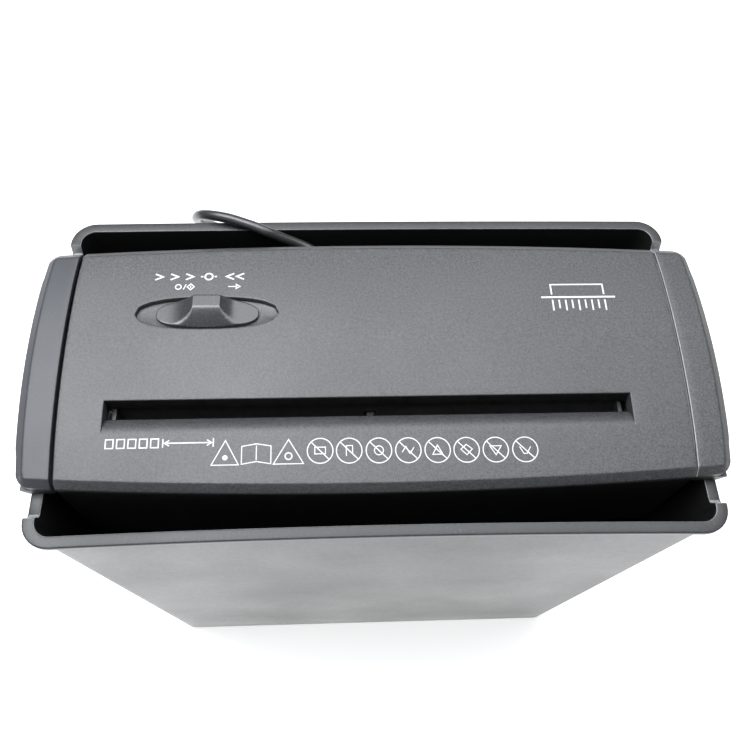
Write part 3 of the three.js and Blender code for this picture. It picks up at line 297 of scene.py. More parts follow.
def moulded_plastic(name, colour, roughness, grains, depth, mottle=0.18, dust=0.25, rub=0.5, gloss=0.8):
    """Moulded plastic: grain, a mottle of the grain's peaks, slow polish changes, dust and rubbed edges."""
    finish, tree, shader = new_finish(name)
    shader.inputs["IOR"].default_value = 1.5
    shader.inputs["Specular IOR Level"].default_value = gloss
    grain = place_group(tree, GRAIN, Grains_per_metre=grains)
    hands = place_group(tree, HANDLING)
    edge = place_group(tree, EDGE_RUB)
    lighter = tuple(min(1.0, c * (1 + 2.2 * mottle) + 0.02 * mottle) for c in colour)
    darker = tuple(c * (1 - mottle) for c in colour)
    body = blend_colours(tree, grain.outputs["Mottle"], darker, lighter)
    rubbed = tuple(min(1.0, c * 1.7 + 0.02) for c in colour)
    worn = blend_colours(tree, maths(tree, "MULTIPLY", edge.outputs["Mask"], rub), body, rubbed)
    pale = tuple(min(1.0, c + 0.16) for c in colour)
    dusty = blend_colours(tree, maths(tree, "MULTIPLY", hands.outputs["Dust"], dust), worn, pale)
    tree.links.new(dusty, shader.inputs["Base Color"])
    slow = spread(tree, hands.outputs["Polish"], 0, 1, roughness - 0.05, roughness + 0.05)
    peaks = maths(tree, "MULTIPLY", grain.outputs["Mottle"], 0.06)
    tree.links.new(maths(tree, "ADD", slow, peaks), shader.inputs["Roughness"])
    bump(tree, shader, grain.outputs["Height"], 1.0, depth * MM)
    return finish


def worked_metal(name, colour, roughness, lines_per_metre, depth, tarnish, along=(1, 1, 1)):
    """Sheet or turned metal: drawn or turned marks along one way, stains and brighter edges."""
    finish, tree, shader = new_finish(name)
    shader.inputs["Metallic"].default_value = 1.0
    coords = tree.nodes.new("ShaderNodeTexCoord").outputs["Object"]
    stretch = tree.nodes.new("ShaderNodeMapping")
    stretch.inputs["Scale"].default_value = along
    tree.links.new(coords, stretch.inputs["Vector"])
    marks = noise(tree, lines_per_metre, 2.0, stretch.outputs[0])
    hands = place_group(tree, HANDLING, Patches_per_metre=40)
    edge = place_group(tree, EDGE_RUB)
    base = blend_colours(tree, hands.outputs["Polish"], colour, tarnish)
    bright = tuple(min(1.0, c * 1.35 + 0.05) for c in colour)
    tree.links.new(blend_colours(tree, edge.outputs["Mask"], base, bright), shader.inputs["Base Color"])
    even = spread(tree, marks, 0.3, 0.7, roughness - 0.08, roughness + 0.1)
    stains = maths(tree, "MULTIPLY", hands.outputs["Polish"], 0.12)
    tree.links.new(maths(tree, "ADD", even, stains), shader.inputs["Roughness"])
    bump(tree, shader, marks, 0.6, depth * MM)
    return finish


def circuit_board_finish():
    """Solder resist over copper: lighter tracks round darker fields, a little raised."""
    finish, tree, shader = new_finish("solder_resist")
    shader.inputs["Roughness"].default_value = 0.35
    coords = tree.nodes.new("ShaderNodeTexCoord").outputs["Object"]
    cells = tree.nodes.new("ShaderNodeTexBrick")
    cells.inputs["Scale"].default_value = 90
    cells.inputs["Mortar Size"].default_value = 0.035
    cells.inputs["Color1"].default_value = (0.012, 0.07, 0.03, 1)
    cells.inputs["Color2"].default_value = (0.016, 0.09, 0.038, 1)
    cells.inputs["Mortar"].default_value = (0.05, 0.17, 0.06, 1)
    tree.links.new(coords, cells.inputs["Vector"])
    hands = place_group(tree, HANDLING, Patches_per_metre=60)
    dulled = blend_colours(tree, hands.outputs["Dust"], cells.outputs["Color"], (0.25, 0.27, 0.25))
    tree.links.new(dulled, shader.inputs["Base Color"])
    bump(tree, shader, cells.outputs["Fac"], 0.4, 0.00005)
    return finish


def printing_ink():
    """White printing ink: a little uneven, so the grain shows through."""
    finish, tree, shader = new_finish("white_ink")
    grain = place_group(tree, GRAIN, Grains_per_metre=2600)
    thin = blend_colours(tree, grain.outputs["Mottle"], (0.62, 0.63, 0.64), (0.82, 0.82, 0.82))
    tree.links.new(thin, shader.inputs["Base Color"])
    tree.links.new(spread(tree, grain.outputs["Mottle"], 0, 1, 0.5, 0.65), shader.inputs["Roughness"])
    return finish


CHARCOAL = (0.028, 0.0285, 0.031)
COVER = moulded_plastic("spark_textured_cover", CHARCOAL, 0.45, 2800, 0.07, mottle=0.6)
BIN = moulded_plastic("satin_bin", (0.036, 0.037, 0.039), 0.36, 900, 0.006, mottle=0.06)
ARM = moulded_plastic("smooth_arm_cap", (0.03, 0.033, 0.041), 0.42, 2200, 0.008, mottle=0.1, gloss=0.62)
HOUSING = moulded_plastic("black_housing", (0.016, 0.016, 0.017), 0.42, 1100, 0.02, mottle=0.2)
# Painted shade: a darker, less glossy copy of the bin plastic on the rim's up-facing faces.
PAINTED_SHADE_RIM_TOP = moulded_plastic("handled_rim", (0.03, 0.031, 0.033), 0.42, 900, 0.008, mottle=0.1, gloss=0.6)
# Painted shade: a far darker copy of the bin plastic for the bin's inside walls and floor and for the feed
# throat's walls.
PAINTED_SHADE_INSIDE = moulded_plastic(
    "unlit_inside", (0.006, 0.006, 0.0065), 0.6, 900, 0.01, mottle=0.1, dust=0.1, gloss=0.25
)
SLIDER = moulded_plastic("polished_slider", (0.034, 0.035, 0.037), 0.26, 2600, 0.003, mottle=0.05)
NYLON = moulded_plastic(
    "natural_nylon", (0.74, 0.72, 0.65), 0.42, 1400, 0.006, mottle=0.04, dust=0.1, rub=0.2
)
CORD = moulded_plastic("cord_sheath", (0.022, 0.022, 0.024), 0.3, 1700, 0.006, mottle=0.08, rub=0.1)
FILM = moulded_plastic("yellow_case", (0.62, 0.42, 0.05), 0.35, 1500, 0.005, mottle=0.05)
STEEL = worked_metal("zinc_plate", (0.52, 0.53, 0.55), 0.34, 700, 0.004, (0.42, 0.41, 0.38), (0.06, 1, 1))
BLACKENED = worked_metal(
    "blackened_plate", (0.035, 0.035, 0.037), 0.4, 700, 0.004, (0.05, 0.045, 0.04), (0.06, 1, 1)
)
TURNED = worked_metal(
    "hardened_cutter_steel", (0.33, 0.33, 0.34), 0.3, 2600, 0.004, (0.24, 0.21, 0.17), (1, 0.1, 0.1)
)
BRASS = worked_metal("turned_brass", (0.72, 0.55, 0.25), 0.28, 1800, 0.003, (0.6, 0.44, 0.2), (1, 0.2, 0.2))
# Painted highlight: a lighter, glossier plastic laid on the inner rim edge and along the right seam, where light
# catches the edges.
PAINTED_EDGE_HIGHLIGHT = moulded_plastic("bright_moulding_edge", (0.2, 0.205, 0.21), 0.3, 1500, 0.004, mottle=0.2)
BOARD = circuit_board_finish()
INK = printing_ink()


# ------------------------------------------------------------------ making a piece
def make_piece(name, body, finish, smooth_angle):
    """A mesh of a Body: doubles merged, normals outward, and edges over the angle in degrees kept sharp."""
    mesh = bpy.data.meshes.new(name)
    mesh.from_pydata([tuple(c * MM for c in p) for p in body.points], [], body.faces)
    work = bmesh.new()
    work.from_mesh(mesh)
    bmesh.ops.remove_doubles(work, verts=work.verts, dist=0.000004)
    bmesh.ops.dissolve_degenerate(work, dist=0.000002, edges=work.edges)
    bmesh.ops.recalc_face_normals(work, faces=work.faces)
    work.to_mesh(mesh)
    work.free()
    mesh.materials.append(finish)
    mesh.shade_smooth()
    mesh.set_sharp_from_angle(angle=math.radians(smooth_angle))
    return show(name, mesh)


def settle(piece, body, instead_of=()):
    """Puts a finished piece on its body, in place of the CAD nodes that it stands for."""
    if instead_of:
        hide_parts(*instead_of)
    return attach(piece, body)


def finish_faces(piece, finish, picks):
    """Gives the faces that picks(centre, normal), in millimetres, chooses a second finish."""
    piece.data.materials.append(finish)
    index = len(piece.data.materials) - 1
    for face in piece.data.polygons:
        if picks(face.center / MM, face.normal):
            face.material_index = index
    return piece


def soften(piece, width, segments):
    """A small round on every sharp edge, made part of the mesh."""
    rounding = piece.modifiers.new("small_rounds", "BEVEL")
    rounding.width = width * MM
    rounding.segments = segments
    rounding.limit_method = "ANGLE"
    rounding.angle_limit = math.radians(35)
    rounding.use_clamp_overlap = True
    return applied(piece)


def applied(piece):
    """The piece with its modifiers worked into a plain mesh."""
    graph = bpy.context.evaluated_depsgraph_get()
    mesh = bpy.data.meshes.new_from_object(piece.evaluated_get(graph))
    piece.modifiers.clear()
    old = piece.data
    piece.data = mesh
    mesh.name = piece.name
    bpy.data.meshes.remove(old)
    return piece


class Body:
    """Points, in millimetres, and faces gathered for one mesh."""

    def __init__(self):
        self.points = []
        self.faces = []

    def add(self, points, faces):
        first = len(self.points)
        self.points.extend(points)
        self.faces.extend(tuple(first + i for i in face) for face in faces)

    def loops(self, rings, start_cap=False, end_cap=False):
        """Joins rings of equal length into a skin."""
        count = len(rings[0])
        points = [p for ring in rings for p in ring]
        faces = []
        for k in range(len(rings) - 1):
            for i in range(count):
                j = (i + 1) % count
                a, b = k * count, (k + 1) * count
                faces.append((a + i, a + j, b + j, b + i))
        if start_cap:
            faces.append(tuple(range(count))[::-1])
        if end_cap:
            faces.append(tuple(range((len(rings) - 1) * count, len(rings) * count)))
        self.add(points, faces)

    def capped(self, rings):
        """The same skin, closed at both ends."""
        self.loops(rings, start_cap=True, end_cap=True)

    def box(self, low, high):
        (x0, y0, z0), (x1, y1, z1) = low, high
        self.capped([[(x0, y0, z), (x1, y0, z), (x1, y1, z), (x0, y1, z)] for z in (z0, z1)])


def round_line(x, y, radius, count=20):
    """Points of a circle in plan."""
    angles = [2 * math.pi * k / count for k in range(count)]
    return [(x + radius * math.cos(a), y + radius * math.sin(a)) for a in angles]


def oval(angle, half_x, half_y, power):
    """A point of an oval; a power over two makes it squarer."""
    c, s = math.cos(angle), math.sin(angle)
    return half_x * math.copysign(abs(c) ** (2 / power), c), half_y * math.copysign(abs(s) ** (2 / power), s)


def turned(profile, centre, axis, count):
    """Rings of a turned shape: (radius, distance) pairs along an axis from a centre."""
    axis = Vector(axis).normalized()
    side = axis.orthogonal().normalized()
    other = axis.cross(side)
    rings = []
    for radius, along in profile:
        at = Vector(centre) + axis * along
        rings.append([tuple(at + u * side + v * other) for u, v in round_line(0, 0, radius, count)])
    return rings


def make_set_on_points():
    """Sets one shape on every point of a carrier mesh; each copy is turned a little more than the last."""
    group = bpy.data.node_groups.new("set_on_points", "GeometryNodeTree")
    for label, kind in (
        ("Geometry", "NodeSocketGeometry"),
        ("Shape", "NodeSocketObject"),
        ("Finish", "NodeSocketMaterial"),
        ("Lean", "NodeSocketVector"),
        ("Turn per copy", "NodeSocketVector"),
    ):
        group.interface.new_socket(label, in_out="INPUT", socket_type=kind)
    group.interface.new_socket("Geometry", in_out="OUTPUT", socket_type="NodeSocketGeometry")
    start, end, shape, number, turn, total, rotation, copies, real, painted = (
        group.nodes.new(kind)
        for kind in (
            "NodeGroupInput", "NodeGroupOutput", "GeometryNodeObjectInfo", "GeometryNodeInputIndex",
            "ShaderNodeVectorMath", "ShaderNodeVectorMath", "FunctionNodeEulerToRotation",
            "GeometryNodeInstanceOnPoints", "GeometryNodeRealizeInstances", "GeometryNodeSetMaterial",
        )
    )
    turn.operation = "SCALE"
    total.operation = "ADD"
    for source, target in (
        (start.outputs["Shape"], shape.inputs["Object"]),
        (start.outputs["Turn per copy"], turn.inputs[0]),
        (number.outputs[0], turn.inputs["Scale"]),
        (start.outputs["Lean"], total.inputs[0]),
        (turn.outputs[0], total.inputs[1]),
        (total.outputs[0], rotation.inputs[0]),
        (start.outputs["Geometry"], copies.inputs["Points"]),
        (shape.outputs["Geometry"], copies.inputs["Instance"]),
        (rotation.outputs[0], copies.inputs["Rotation"]),
        (copies.outputs[0], real.inputs[0]),
        (real.outputs[0], painted.inputs["Geometry"]),
        (start.outputs["Finish"], painted.inputs["Material"]),
        (painted.outputs[0], end.inputs[0]),
    ):
        group.links.new(source, target)
    return group


SET_ON_POINTS = make_set_on_points()


def set_on_points(name, shape, places, finish, lean=(0.0, 0.0, 0.0), turn=(0.0, 0.0, 0.0)):
    """One mesh of copies of a shape, at places in millimetres; the shape itself is used up."""
    mesh = bpy.data.meshes.new(name)
    mesh.from_pydata([tuple(c * MM for c in place) for place in places], [], [])
    piece = show(name, mesh)
    repeat = piece.modifiers.new("copies", "NODES")
    repeat.node_group = SET_ON_POINTS
    values = {"Shape": shape, "Finish": finish, "Lean": lean, "Turn per copy": turn}
    for socket in SET_ON_POINTS.interface.items_tree:
        if socket.in_out == "INPUT" and socket.name in values:
            repeat[socket.identifier] = values[socket.name]
    applied(piece)
    bpy.data.objects.remove(shape)
    return piece


# ------------------------------------------------------------------ cord, coil and plug
CORD_DIAMETER = 5.0
CORD_ROUTE = [
    (-24.5, 65.9, 260.0), (-32.4, 69.7, 262.2), (-38.2, 71.0, 264.5), (-44.3, 71.8, 267.3),
    (-50.4, 72.7, 270.3), (-56.2, 75.0, 271.3), (-62.4, 77.4, 271.6), (-68.3, 79.7, 271.6),
    (-75.8, 82.1, 270.9), (-82.6, 85.4, 267.6), (-86.6, 89.8, 260.6), (-87.4, 94.8, 251.8),
    (-84.6, 99.4, 243.0), (-79.0, 102.6, 234.6), (-71.0, 104.0, 226.4), (-61.6, 104.0, 217.6),
    (-52.8, 104.0, 207.6), (-46.0, 104.0, 196.0), (-42.2, 104.0, 182.0), (-41.0, 104.0, 150.0),
    (-41.0, 104.0, 110.0), (-41.0, 104.0, 70.0), (-41.0, 104.0, 40.0), (-40.6, 104.0, 24.0),
    (-37.6, 104.0, 13.0), (-31.0, 104.0, 6.2), (-22.5, 104.1, 3.2), (-13.0, 104.25, 2.8),
]
COIL_CENTRE = (6.0, 136.9)
COIL_RADII = (32.6, 27.55, 22.5)
COIL_LOW = 2.8
COIL_HIGH = 7.86
TAIL_ROUTE = [
    (10.0, 104.3, 7.86), (17.0, 104.2, 7.7), (24.8, 104.0, 7.1), (31.0, 104.0, 6.6), (38.0, 104.0, 6.0),
]
PLUG_START = (46.0, 104.0, 5.8)


def smooth_through(points, per_span=6):
    """A Catmull-Rom curve through the points, with chord-length spacing."""
    p = [Vector(q) for q in points]
    p = [2 * p[0] - p[1], *p, 2 * p[-1] - p[-2]]
    out = []
    for i in range(1, len(p) - 2):
        knots = [0.0]
        for a, b in zip(p[i - 1 : i + 2], p[i : i + 3]):
            knots.append(knots[-1] + max((b - a).length, 1e-6) ** 0.5)
        t0, t1, t2, t3 = knots
        for k in range(per_span):
            t = t1 + (t2 - t1) * k / per_span
            a1 = p[i - 1] * ((t1 - t) / (t1 - t0)) + p[i] * ((t - t0) / (t1 - t0))
            a2 = p[i] * ((t2 - t) / (t2 - t1)) + p[i + 1] * ((t - t1) / (t2 - t1))
            a3 = p[i + 1] * ((t3 - t) / (t3 - t2)) + p[i + 2] * ((t - t2) / (t3 - t2))
            b1 = a1 * ((t2 - t) / (t2 - t0)) + a2 * ((t - t0) / (t2 - t0))
            b2 = a2 * ((t3 - t) / (t3 - t1)) + a3 * ((t - t1) / (t3 - t1))
            out.append(b1 * ((t2 - t) / (t2 - t1)) + b2 * ((t - t1) / (t2 - t1)))
    out.append(p[-2])
    return out


def ease(value, low, high):
    """Nought below the low end, one above the high end and smooth between them."""
    t = min(1.0, max(0.0, (value - low) / (high - low)))
    return t * t * (3 - 2 * t)


def coil_turns():
    """Three turns inward on the floor, then three turns outward on top of them."""
    outer, middle, inner = COIL_RADII
    out = []
    for k in range(1, 6 * 48):
        turn = k / 48
        low_lane = outer - (outer - middle) * ease(turn, 0.84, 1.0) - (middle - inner) * ease(turn, 1.84, 2.0)
        high_lane = inner + (middle - inner) * ease(turn, 3.5, 3.67) + (outer - middle) * ease(turn, 4.5, 4.67)
        radius = low_lane if turn < 3 else high_lane
        height = COIL_LOW + (COIL_HIGH - COIL_LOW) * ease(turn, 2.62, 2.82)
        angle = 2 * math.pi * turn - math.pi / 2
        x = COIL_CENTRE[0] + radius * math.cos(angle)
        y = COIL_CENTRE[1] + radius * math.sin(angle)
        out.append(Vector((x, y, height)))
    return out


def tube_rings(path, radius, count=14):
    """Round sections along a path, carried along without twist."""
    rings = []
    side = None
    for i, at in enumerate(path):
        along = (path[min(i + 1, len(path) - 1)] - path[max(i - 1, 0)]).normalized()
        side = along.orthogonal() if side is None else side
        side = (side - along * side.dot(along)).normalized()
        other = along.cross(side)
        rings.append([tuple(at + u * side + v * other) for u, v in round_line(0, 0, radius, count)])
    return rings


def make_cord():
    """The whole cord as one tube, its centreline and its length."""
    start = Vector((COIL_CENTRE[0], COIL_CENTRE[1] - COIL_RADII[0], COIL_LOW))
    head_run = smooth_through([*CORD_ROUTE, start], 5)
    tail_run = smooth_through([coil_turns()[-1], *TAIL_ROUTE, PLUG_START], 5)
    path = [*head_run, *coil_turns(), *tail_run[1:]]
    length = sum((b - a).length for a, b in zip(path, path[1:]))
    body = Body()
    body.capped(tube_rings(path, CORD_DIAMETER / 2))
    return make_piece("mains_cord", body, CORD, 50), path, length


def make_strain_relief():
    """A tapered sleeve with ribs, from the housing's back wall to the cord."""
    first, second = Vector(CORD_ROUTE[0]), Vector(CORD_ROUTE[1])
    out = (second - first).normalized()
    profile = [(0.01, 0.0), (4.7, 0.0), (4.75, 0.6), (4.75, 3.6), (4.5, 4.0)]
    for i in range(6):
        at = 4.4 + i * 2.6
        radius = 4.35 - i * 0.22
        profile += [(radius - 0.75, at), (radius - 0.75, at + 0.9), (radius, at + 1.1), (radius, at + 2.3)]
    profile += [(3.05, 20.0), (2.9, 20.6), (2.54, 20.7), (2.54, 19.0), (0.01, 19.0)]
    body = Body()
    body.loops(turned(profile, first - out * 20.3, out, 28))
    return make_piece("strain_relief_sleeve", body, CORD, 40)


def make_plug():
    """A flat two-pin plug: tapered neck with ribs, waisted grip and a rounded front."""
    x0, y, z = PLUG_START
    sections = [
        (0.0, 2.75, 2.75, 0.95), (0.6, 3.1, 3.1, 0.95), (3.0, 3.2, 3.2, 0.95), (3.2, 2.8, 2.8, 0.95),
        (4.4, 2.8, 2.8, 0.95), (4.6, 3.5, 3.4, 0.9), (7.0, 3.6, 3.5, 0.9), (7.2, 3.0, 3.0, 0.9),
        (8.4, 3.0, 3.0, 0.9), (8.6, 3.9, 3.8, 0.85), (11.0, 4.1, 4.0, 0.8), (11.2, 3.4, 3.4, 0.8),
        (12.4, 3.6, 3.6, 0.8), (12.6, 4.6, 4.3, 0.7), (15.0, 5.4, 4.7, 0.6), (18.0, 6.4, 5.1, 0.5),
        (21.0, 6.9, 5.3, 0.45), (25.0, 6.5, 4.9, 0.45), (30.0, 6.2, 4.7, 0.45), (35.0, 6.6, 5.1, 0.42),
        (38.5, 6.95, 5.35, 0.4), (39.6, 6.8, 5.2, 0.4), (40.0, 6.3, 4.7, 0.4),
    ]
    body = Body()
    rings = []
    for along, half_width, half_height, roundness in sections:
        power = 2 + 5 * (1 - roundness)
        outline = (oval(2 * math.pi * k / 36, half_width, half_height, power) for k in range(36))
        rings.append([(x0 + along, y + dy, z + dz) for dy, dz in outline])
    body.capped(rings)
    for side in (-1, 1):
        for row in range(4):
            low = (x0 + 25 + row * 2.4, y - 4.2, z + side * 4.65 - 0.3)
            high = (x0 + 26.2 + row * 2.4, y + 4.2, z + side * 4.65 + 0.5)
            body.box(low, high)
    return make_piece("two_pin_plug", body, CORD, 42)


def make_plug_pins():
    """Round pins with plain sleeves at their roots and domed tips."""
    x0, y, z = PLUG_START
    metal, sleeves = Body(), Body()
    tip = [(0.01, 9), (1.98, 9), (1.98, 17.4), (1.7, 18.4), (1.0, 18.9), (0.01, 19)]
    sleeve = [(0.01, -0.5), (1.9, -0.5), (1.9, 9.6), (1.8, 9.8), (0.01, 9.8)]
    for side in (-1, 1):
        centre = (x0 + 40, y + side * 4.2, z)
        metal.loops(turned(tip, centre, (1, 0, 0), 24))
        sleeves.loops(turned(sleeve, centre, (1, 0, 0), 24))
    return (
        make_piece("plug_pin_tips", metal, BRASS, 45),
        make_piece("plug_pin_sleeves", sleeves, CORD, 45),
    )


cord, cord_path, cord_length = make_cord()
plug = make_plug()
pin_tips, pin_sleeves = make_plug_pins()
settle(plug, "bin", ["mains_plug"])
settle(pin_tips, "bin", ["plug_pin_front", "plug_pin_back"])
settle(pin_sleeves, "bin")
settle(make_strain_relief(), "head", ["strain_relief"])
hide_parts("power_cord", "cord_coil", "cord_tail")
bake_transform(cord)

# ------------------------------------------------------------------ waste bin
RIM_CENTRE = (132.5, 68.5)
BIN_HEIGHT = 268.0
BIN_DRAFT = 13.5
NOTCH_DEPTH = 5.0
FRONT_RIM_BOW = 1.7
# (distance out from the corners' centres, height), from the inside floor over the rim to the foot
BIN_PROFILE = [
    (2.0, 3.5), (5.2, 3.5), (6.2, 3.9), (6.5, 4.8), (6.5, 60.0), (6.5, 120.0), (6.5, 180.0), (6.5, 240.0),
    (6.5, 252.0), (6.5, 256.0), (6.5, 267.3), (6.56, 267.72), (6.76, 267.94), (7.1, 268.0), (8.6, 268.03),
    (10.7, 268.0), (11.15, 267.88), (11.42, 267.6), (11.5, 267.2), (11.5, 265.5), (11.42, 265.12), (11.1, 264.95),
    (8.9, 264.95), (8.6, 264.7), (8.5, 264.2), (8.5, 253.0), (8.5, 249.0), (8.5, 200.0), (8.5, 140.0),
    (8.5, 80.0), (8.5, 30.0), (8.5, 1.6), (8.3, 0.6), (7.8, 0.12), (7.2, 0.0), (2.6, 0.0), (2.4, 0.2), (2.4, 1.5),
    (1.0, 1.5),
]


def rim_samples():
    """Places round the rim as (corner centre signs, angle, share along a straight side)."""
    side = [-1, -0.992, -0.984, -0.978, -0.972, -0.966, -0.958, -0.94, -0.85, -0.6, -0.3, 0]
    side = side + [-s for s in side[-2::-1]]
    front = [i / 8 - 1 for i in range(17)]
    places = []
    for straight, (sx, sy), (tx, ty), angle in (
        (front, (-1, -1), (1, -1), -math.pi / 2),
        (side, (1, -1), (1, 1), 0),
        (front, (1, 1), (-1, 1), math.pi / 2),
        (side, (-1, 1), (-1, -1), math.pi),
    ):
        for s in straight:
            share = (s + 1) / 2
            places.append((sx + (tx - sx) * share, sy + (ty - sy) * share, angle))
        for k in range(1, 9):
            places.append((tx, ty, angle + math.pi / 2 * k / 9))
    return places


def make_bin():
    """One profile, from the inside floor over the rim to the foot, carried round the bin."""
    places = rim_samples()
    rings = []
    for radius, z in BIN_PROFILE:
        lean = BIN_DRAFT * (1 - z / BIN_HEIGHT)
        ring = []
        for sx, sy, angle in places:
            x = sx * (RIM_CENTRE[0] - lean) + radius * math.cos(angle)
            y = sy * (RIM_CENTRE[1] - lean) + radius * math.sin(angle)
            high = ease(z, 249.0, 256.0)
            notch = NOTCH_DEPTH * ease(RIM_CENTRE[1] - abs(y), 1.0, 3.4) if abs(math.cos(angle)) > 0.99 else 0.0
            bow = FRONT_RIM_BOW * max(0.0, 1 - (x / RIM_CENTRE[0]) ** 2) * ease(z, 90.0, BIN_HEIGHT)
            if abs(math.sin(angle)) > 0.99:
                y += bow * (1.0 if y < 0 else 0.45)
            ring.append((x, y, z - notch * high))
        rings.append(ring)
    body = Body()
    body.capped(rings)
    return make_piece("waste_bin_shell", body, BIN, 38)


def faces_inward(centre, normal):
    return normal.x * centre.x + normal.y * centre.y < 0


# Picks the inner rim edge faces that take the painted highlight.
def inner_rim_edge(centre, normal):
    return centre.z > BIN_HEIGHT - 6 and 0.25 < normal.z < 0.97 and faces_inward(centre, normal)


# Picks the rim's up-facing faces that take the painted shade.
def rim_top(centre, normal):
    return centre.z > BIN_HEIGHT - NOTCH_DEPTH - 1.2 and (normal.z > 0.25 or centre.z > BIN_HEIGHT - 0.8)


# Picks the inner walls and inside floor that take the painted shade.
def inner_wall(centre, normal):
    wall = faces_inward(centre, normal) and abs(normal.z) < 0.25
    floor = centre.z > 1.4 and normal.z > 0.9
    return centre.z < BIN_HEIGHT - 0.7 and (wall or floor)


# Painted shade on the bin's inner walls and inside floor.
bin_shell = finish_faces(make_bin(), PAINTED_SHADE_INSIDE, inner_wall)
# Painted shade on the rim's top.
finish_faces(bin_shell, PAINTED_SHADE_RIM_TOP, rim_top)
# Painted highlight along the inner rim edge.
finish_faces(bin_shell, PAINTED_EDGE_HIGHLIGHT, inner_rim_edge)
settle(bin_shell, "bin", ["waste_bin"])


# ------------------------------------------------------------------ cutting head, outside
HEAD_HALF_X = 151.5
HEAD_HALF_Y = 60.0
SIDE_BOW = 3.0
FRONT_BOW = 5.0
HEAD_CORNER = 6.0
STRAIGHT_Y = 38.0
SKIRT_Z = 267.5
FRONT_EDGE_Y, BACK_EDGE_Y = -57.0, 55.5
FRONT_RISE, BACK_RISE, ARCH = 5.0, 12.0, 3.0
SHELL_WALL = 2.2
SEAM = 132.3
SEAM_BOW = 1.6
SLOT_X = (-114.9, 108.5)
SLOT_Y = (-26.9, -20.3)
RAMP_LENGTH, RAMP_DEPTH, RAMP_CURVE = 8.3, 4.3, 1.9
LIP_ROUND = 0.4
RECESS_AT = (-74.4, 21.1)
RECESS_HALF = (31.3, 8.0)
RECESS_DEPTH = 2.5
RECESS_PATCH = 11.5  # half the depth of the square hole that holds the recess
THROAT_WALL = 1.6
THROAT_BOTTOM = 269.2
# edge bands: (distance to the outline, fall of the top)
FRONT_BAND = [(0.0, 3.1), (0.12, 2.86), (0.3, 2.66), (2.75, 0.2), (2.95, 0.06), (3.2, 0.01), (3.5, 0.0)]
SIDE_BAND = [(0.0, 4.1), (0.15, 3.6), (0.4, 3.25), (4.0, 0.26), (4.35, 0.08), (4.8, 0.01), (5.2, 0.0)]
EDGE_ZONE = 8.0


def crown(y):
    """Height of the crowned top before its edges are rounded."""
    half = (BACK_EDGE_Y - FRONT_EDGE_Y) / 2
    middle = (BACK_EDGE_Y + FRONT_EDGE_Y) / 2
    share = (y - FRONT_EDGE_Y) / (2 * half)
    return SKIRT_Z + FRONT_RISE + (BACK_RISE - FRONT_RISE) * share + ARCH * (1 - ((y - middle) / half) ** 2)


def band(table, distance):
    """A value read from a table of (distance, fall)."""
    return float(np.interp(distance, [d for d, _ in table], [z for _, z in table]))


def plan_place(a, v, seam=0.0, inset=0.0):
    """Where station a and share v of the depth lie in plan; seam bends the stations near a seam."""
    half_x, half_y = HEAD_HALF_X - inset, HEAD_HALF_Y - inset
    y0 = v * half_y
    from_end = half_x - abs(a)
    short = max(0.0, HEAD_CORNER - from_end)
    pull = HEAD_CORNER - math.sqrt(max(0.0, HEAD_CORNER**2 - short**2))
    half = half_y - FRONT_BOW * (a / HEAD_HALF_X) ** 2 - pull
    y = y0
    from_edge = half_y - abs(y0)
    if from_edge < EDGE_ZONE:
        y = math.copysign(half - from_edge, y0)
    elif abs(y0) > STRAIGHT_Y:
        share = (abs(y0) - STRAIGHT_Y) / (half_y - EDGE_ZONE - STRAIGHT_Y)
        y = math.copysign(STRAIGHT_Y + share * (half - EDGE_ZONE - STRAIGHT_Y), y0)
    x = a - math.copysign(SIDE_BOW * v * v * ease(abs(a), 134.0, 143.0), a)
    x += math.copysign(seam * SEAM_BOW * (1 - v * v), a)
    return x, y


def edge_drop(x, y):
    """How far the top falls at a place, from its distance to the outline."""
    py = HEAD_HALF_Y - FRONT_BOW * (x / HEAD_HALF_X) ** 2 - abs(y)
    px = HEAD_HALF_X - SIDE_BOW * (y / HEAD_HALF_Y) ** 2 - abs(x)
    near = min(px, py)
    if px < HEAD_CORNER and py < HEAD_CORNER:
        near = HEAD_CORNER - math.hypot(HEAD_CORNER - px, HEAD_CORNER - py)
    near = max(0.0, near)
    side = band(SIDE_BAND, near)
    if y > 0:
        return side
    share = ease(px - py, -2.0, 2.0)
    return side + (band(FRONT_BAND, near) - side) * share


def ramp_drop(y):
    """Fall of the ramp in front of the slot, gentle at first."""
    share = (y - SLOT_Y[0] + RAMP_LENGTH) / RAMP_LENGTH
    return RAMP_DEPTH * min(1.0, max(0.0, share)) ** RAMP_CURVE


def slot_drop(x, y):
    """The ramp in front of the feed slot and the rounded lips round it."""
    ramp_y = SLOT_Y[0] - RAMP_LENGTH
    inside_x = SLOT_X[0] - 0.01 <= x <= SLOT_X[1] + 0.01
    ramp = 0.0
    if inside_x and ramp_y < y <= SLOT_Y[0] + 0.01:
        ramp = ramp_drop(y)
    if inside_x and SLOT_Y[0] + 0.01 < y < SLOT_Y[1] - 0.01:
        ramp = RAMP_DEPTH
    dx = max(SLOT_X[0] - x, x - SLOT_X[1], 0.0)
    lip = 0.0
    if inside_x and SLOT_Y[1] - 0.01 <= y < SLOT_Y[1] + LIP_ROUND:
        lip = rounded(max(0.0, y - SLOT_Y[1]))
    if inside_x and 0 <= SLOT_Y[0] - y < LIP_ROUND:
        lip = rounded(SLOT_Y[0] - y)
    if 0 < dx < LIP_ROUND and ramp_y < y < SLOT_Y[1] + LIP_ROUND:
        beyond = max(0.0, y - SLOT_Y[1])
        lip = min(rounded(math.hypot(dx, beyond)), ramp_drop(y))
    return ramp + lip


def rounded(distance, radius=LIP_ROUND):
    """Quarter-round fall at a distance from an edge."""
    inner = max(0.0, radius - distance)
    return radius - math.sqrt(max(0.0, radius * radius - inner * inner))


def head_surface(x, y):
    """Height of the finished top at a place in plan."""
    return crown(y) - edge_drop(x, y) - slot_drop(x, y)


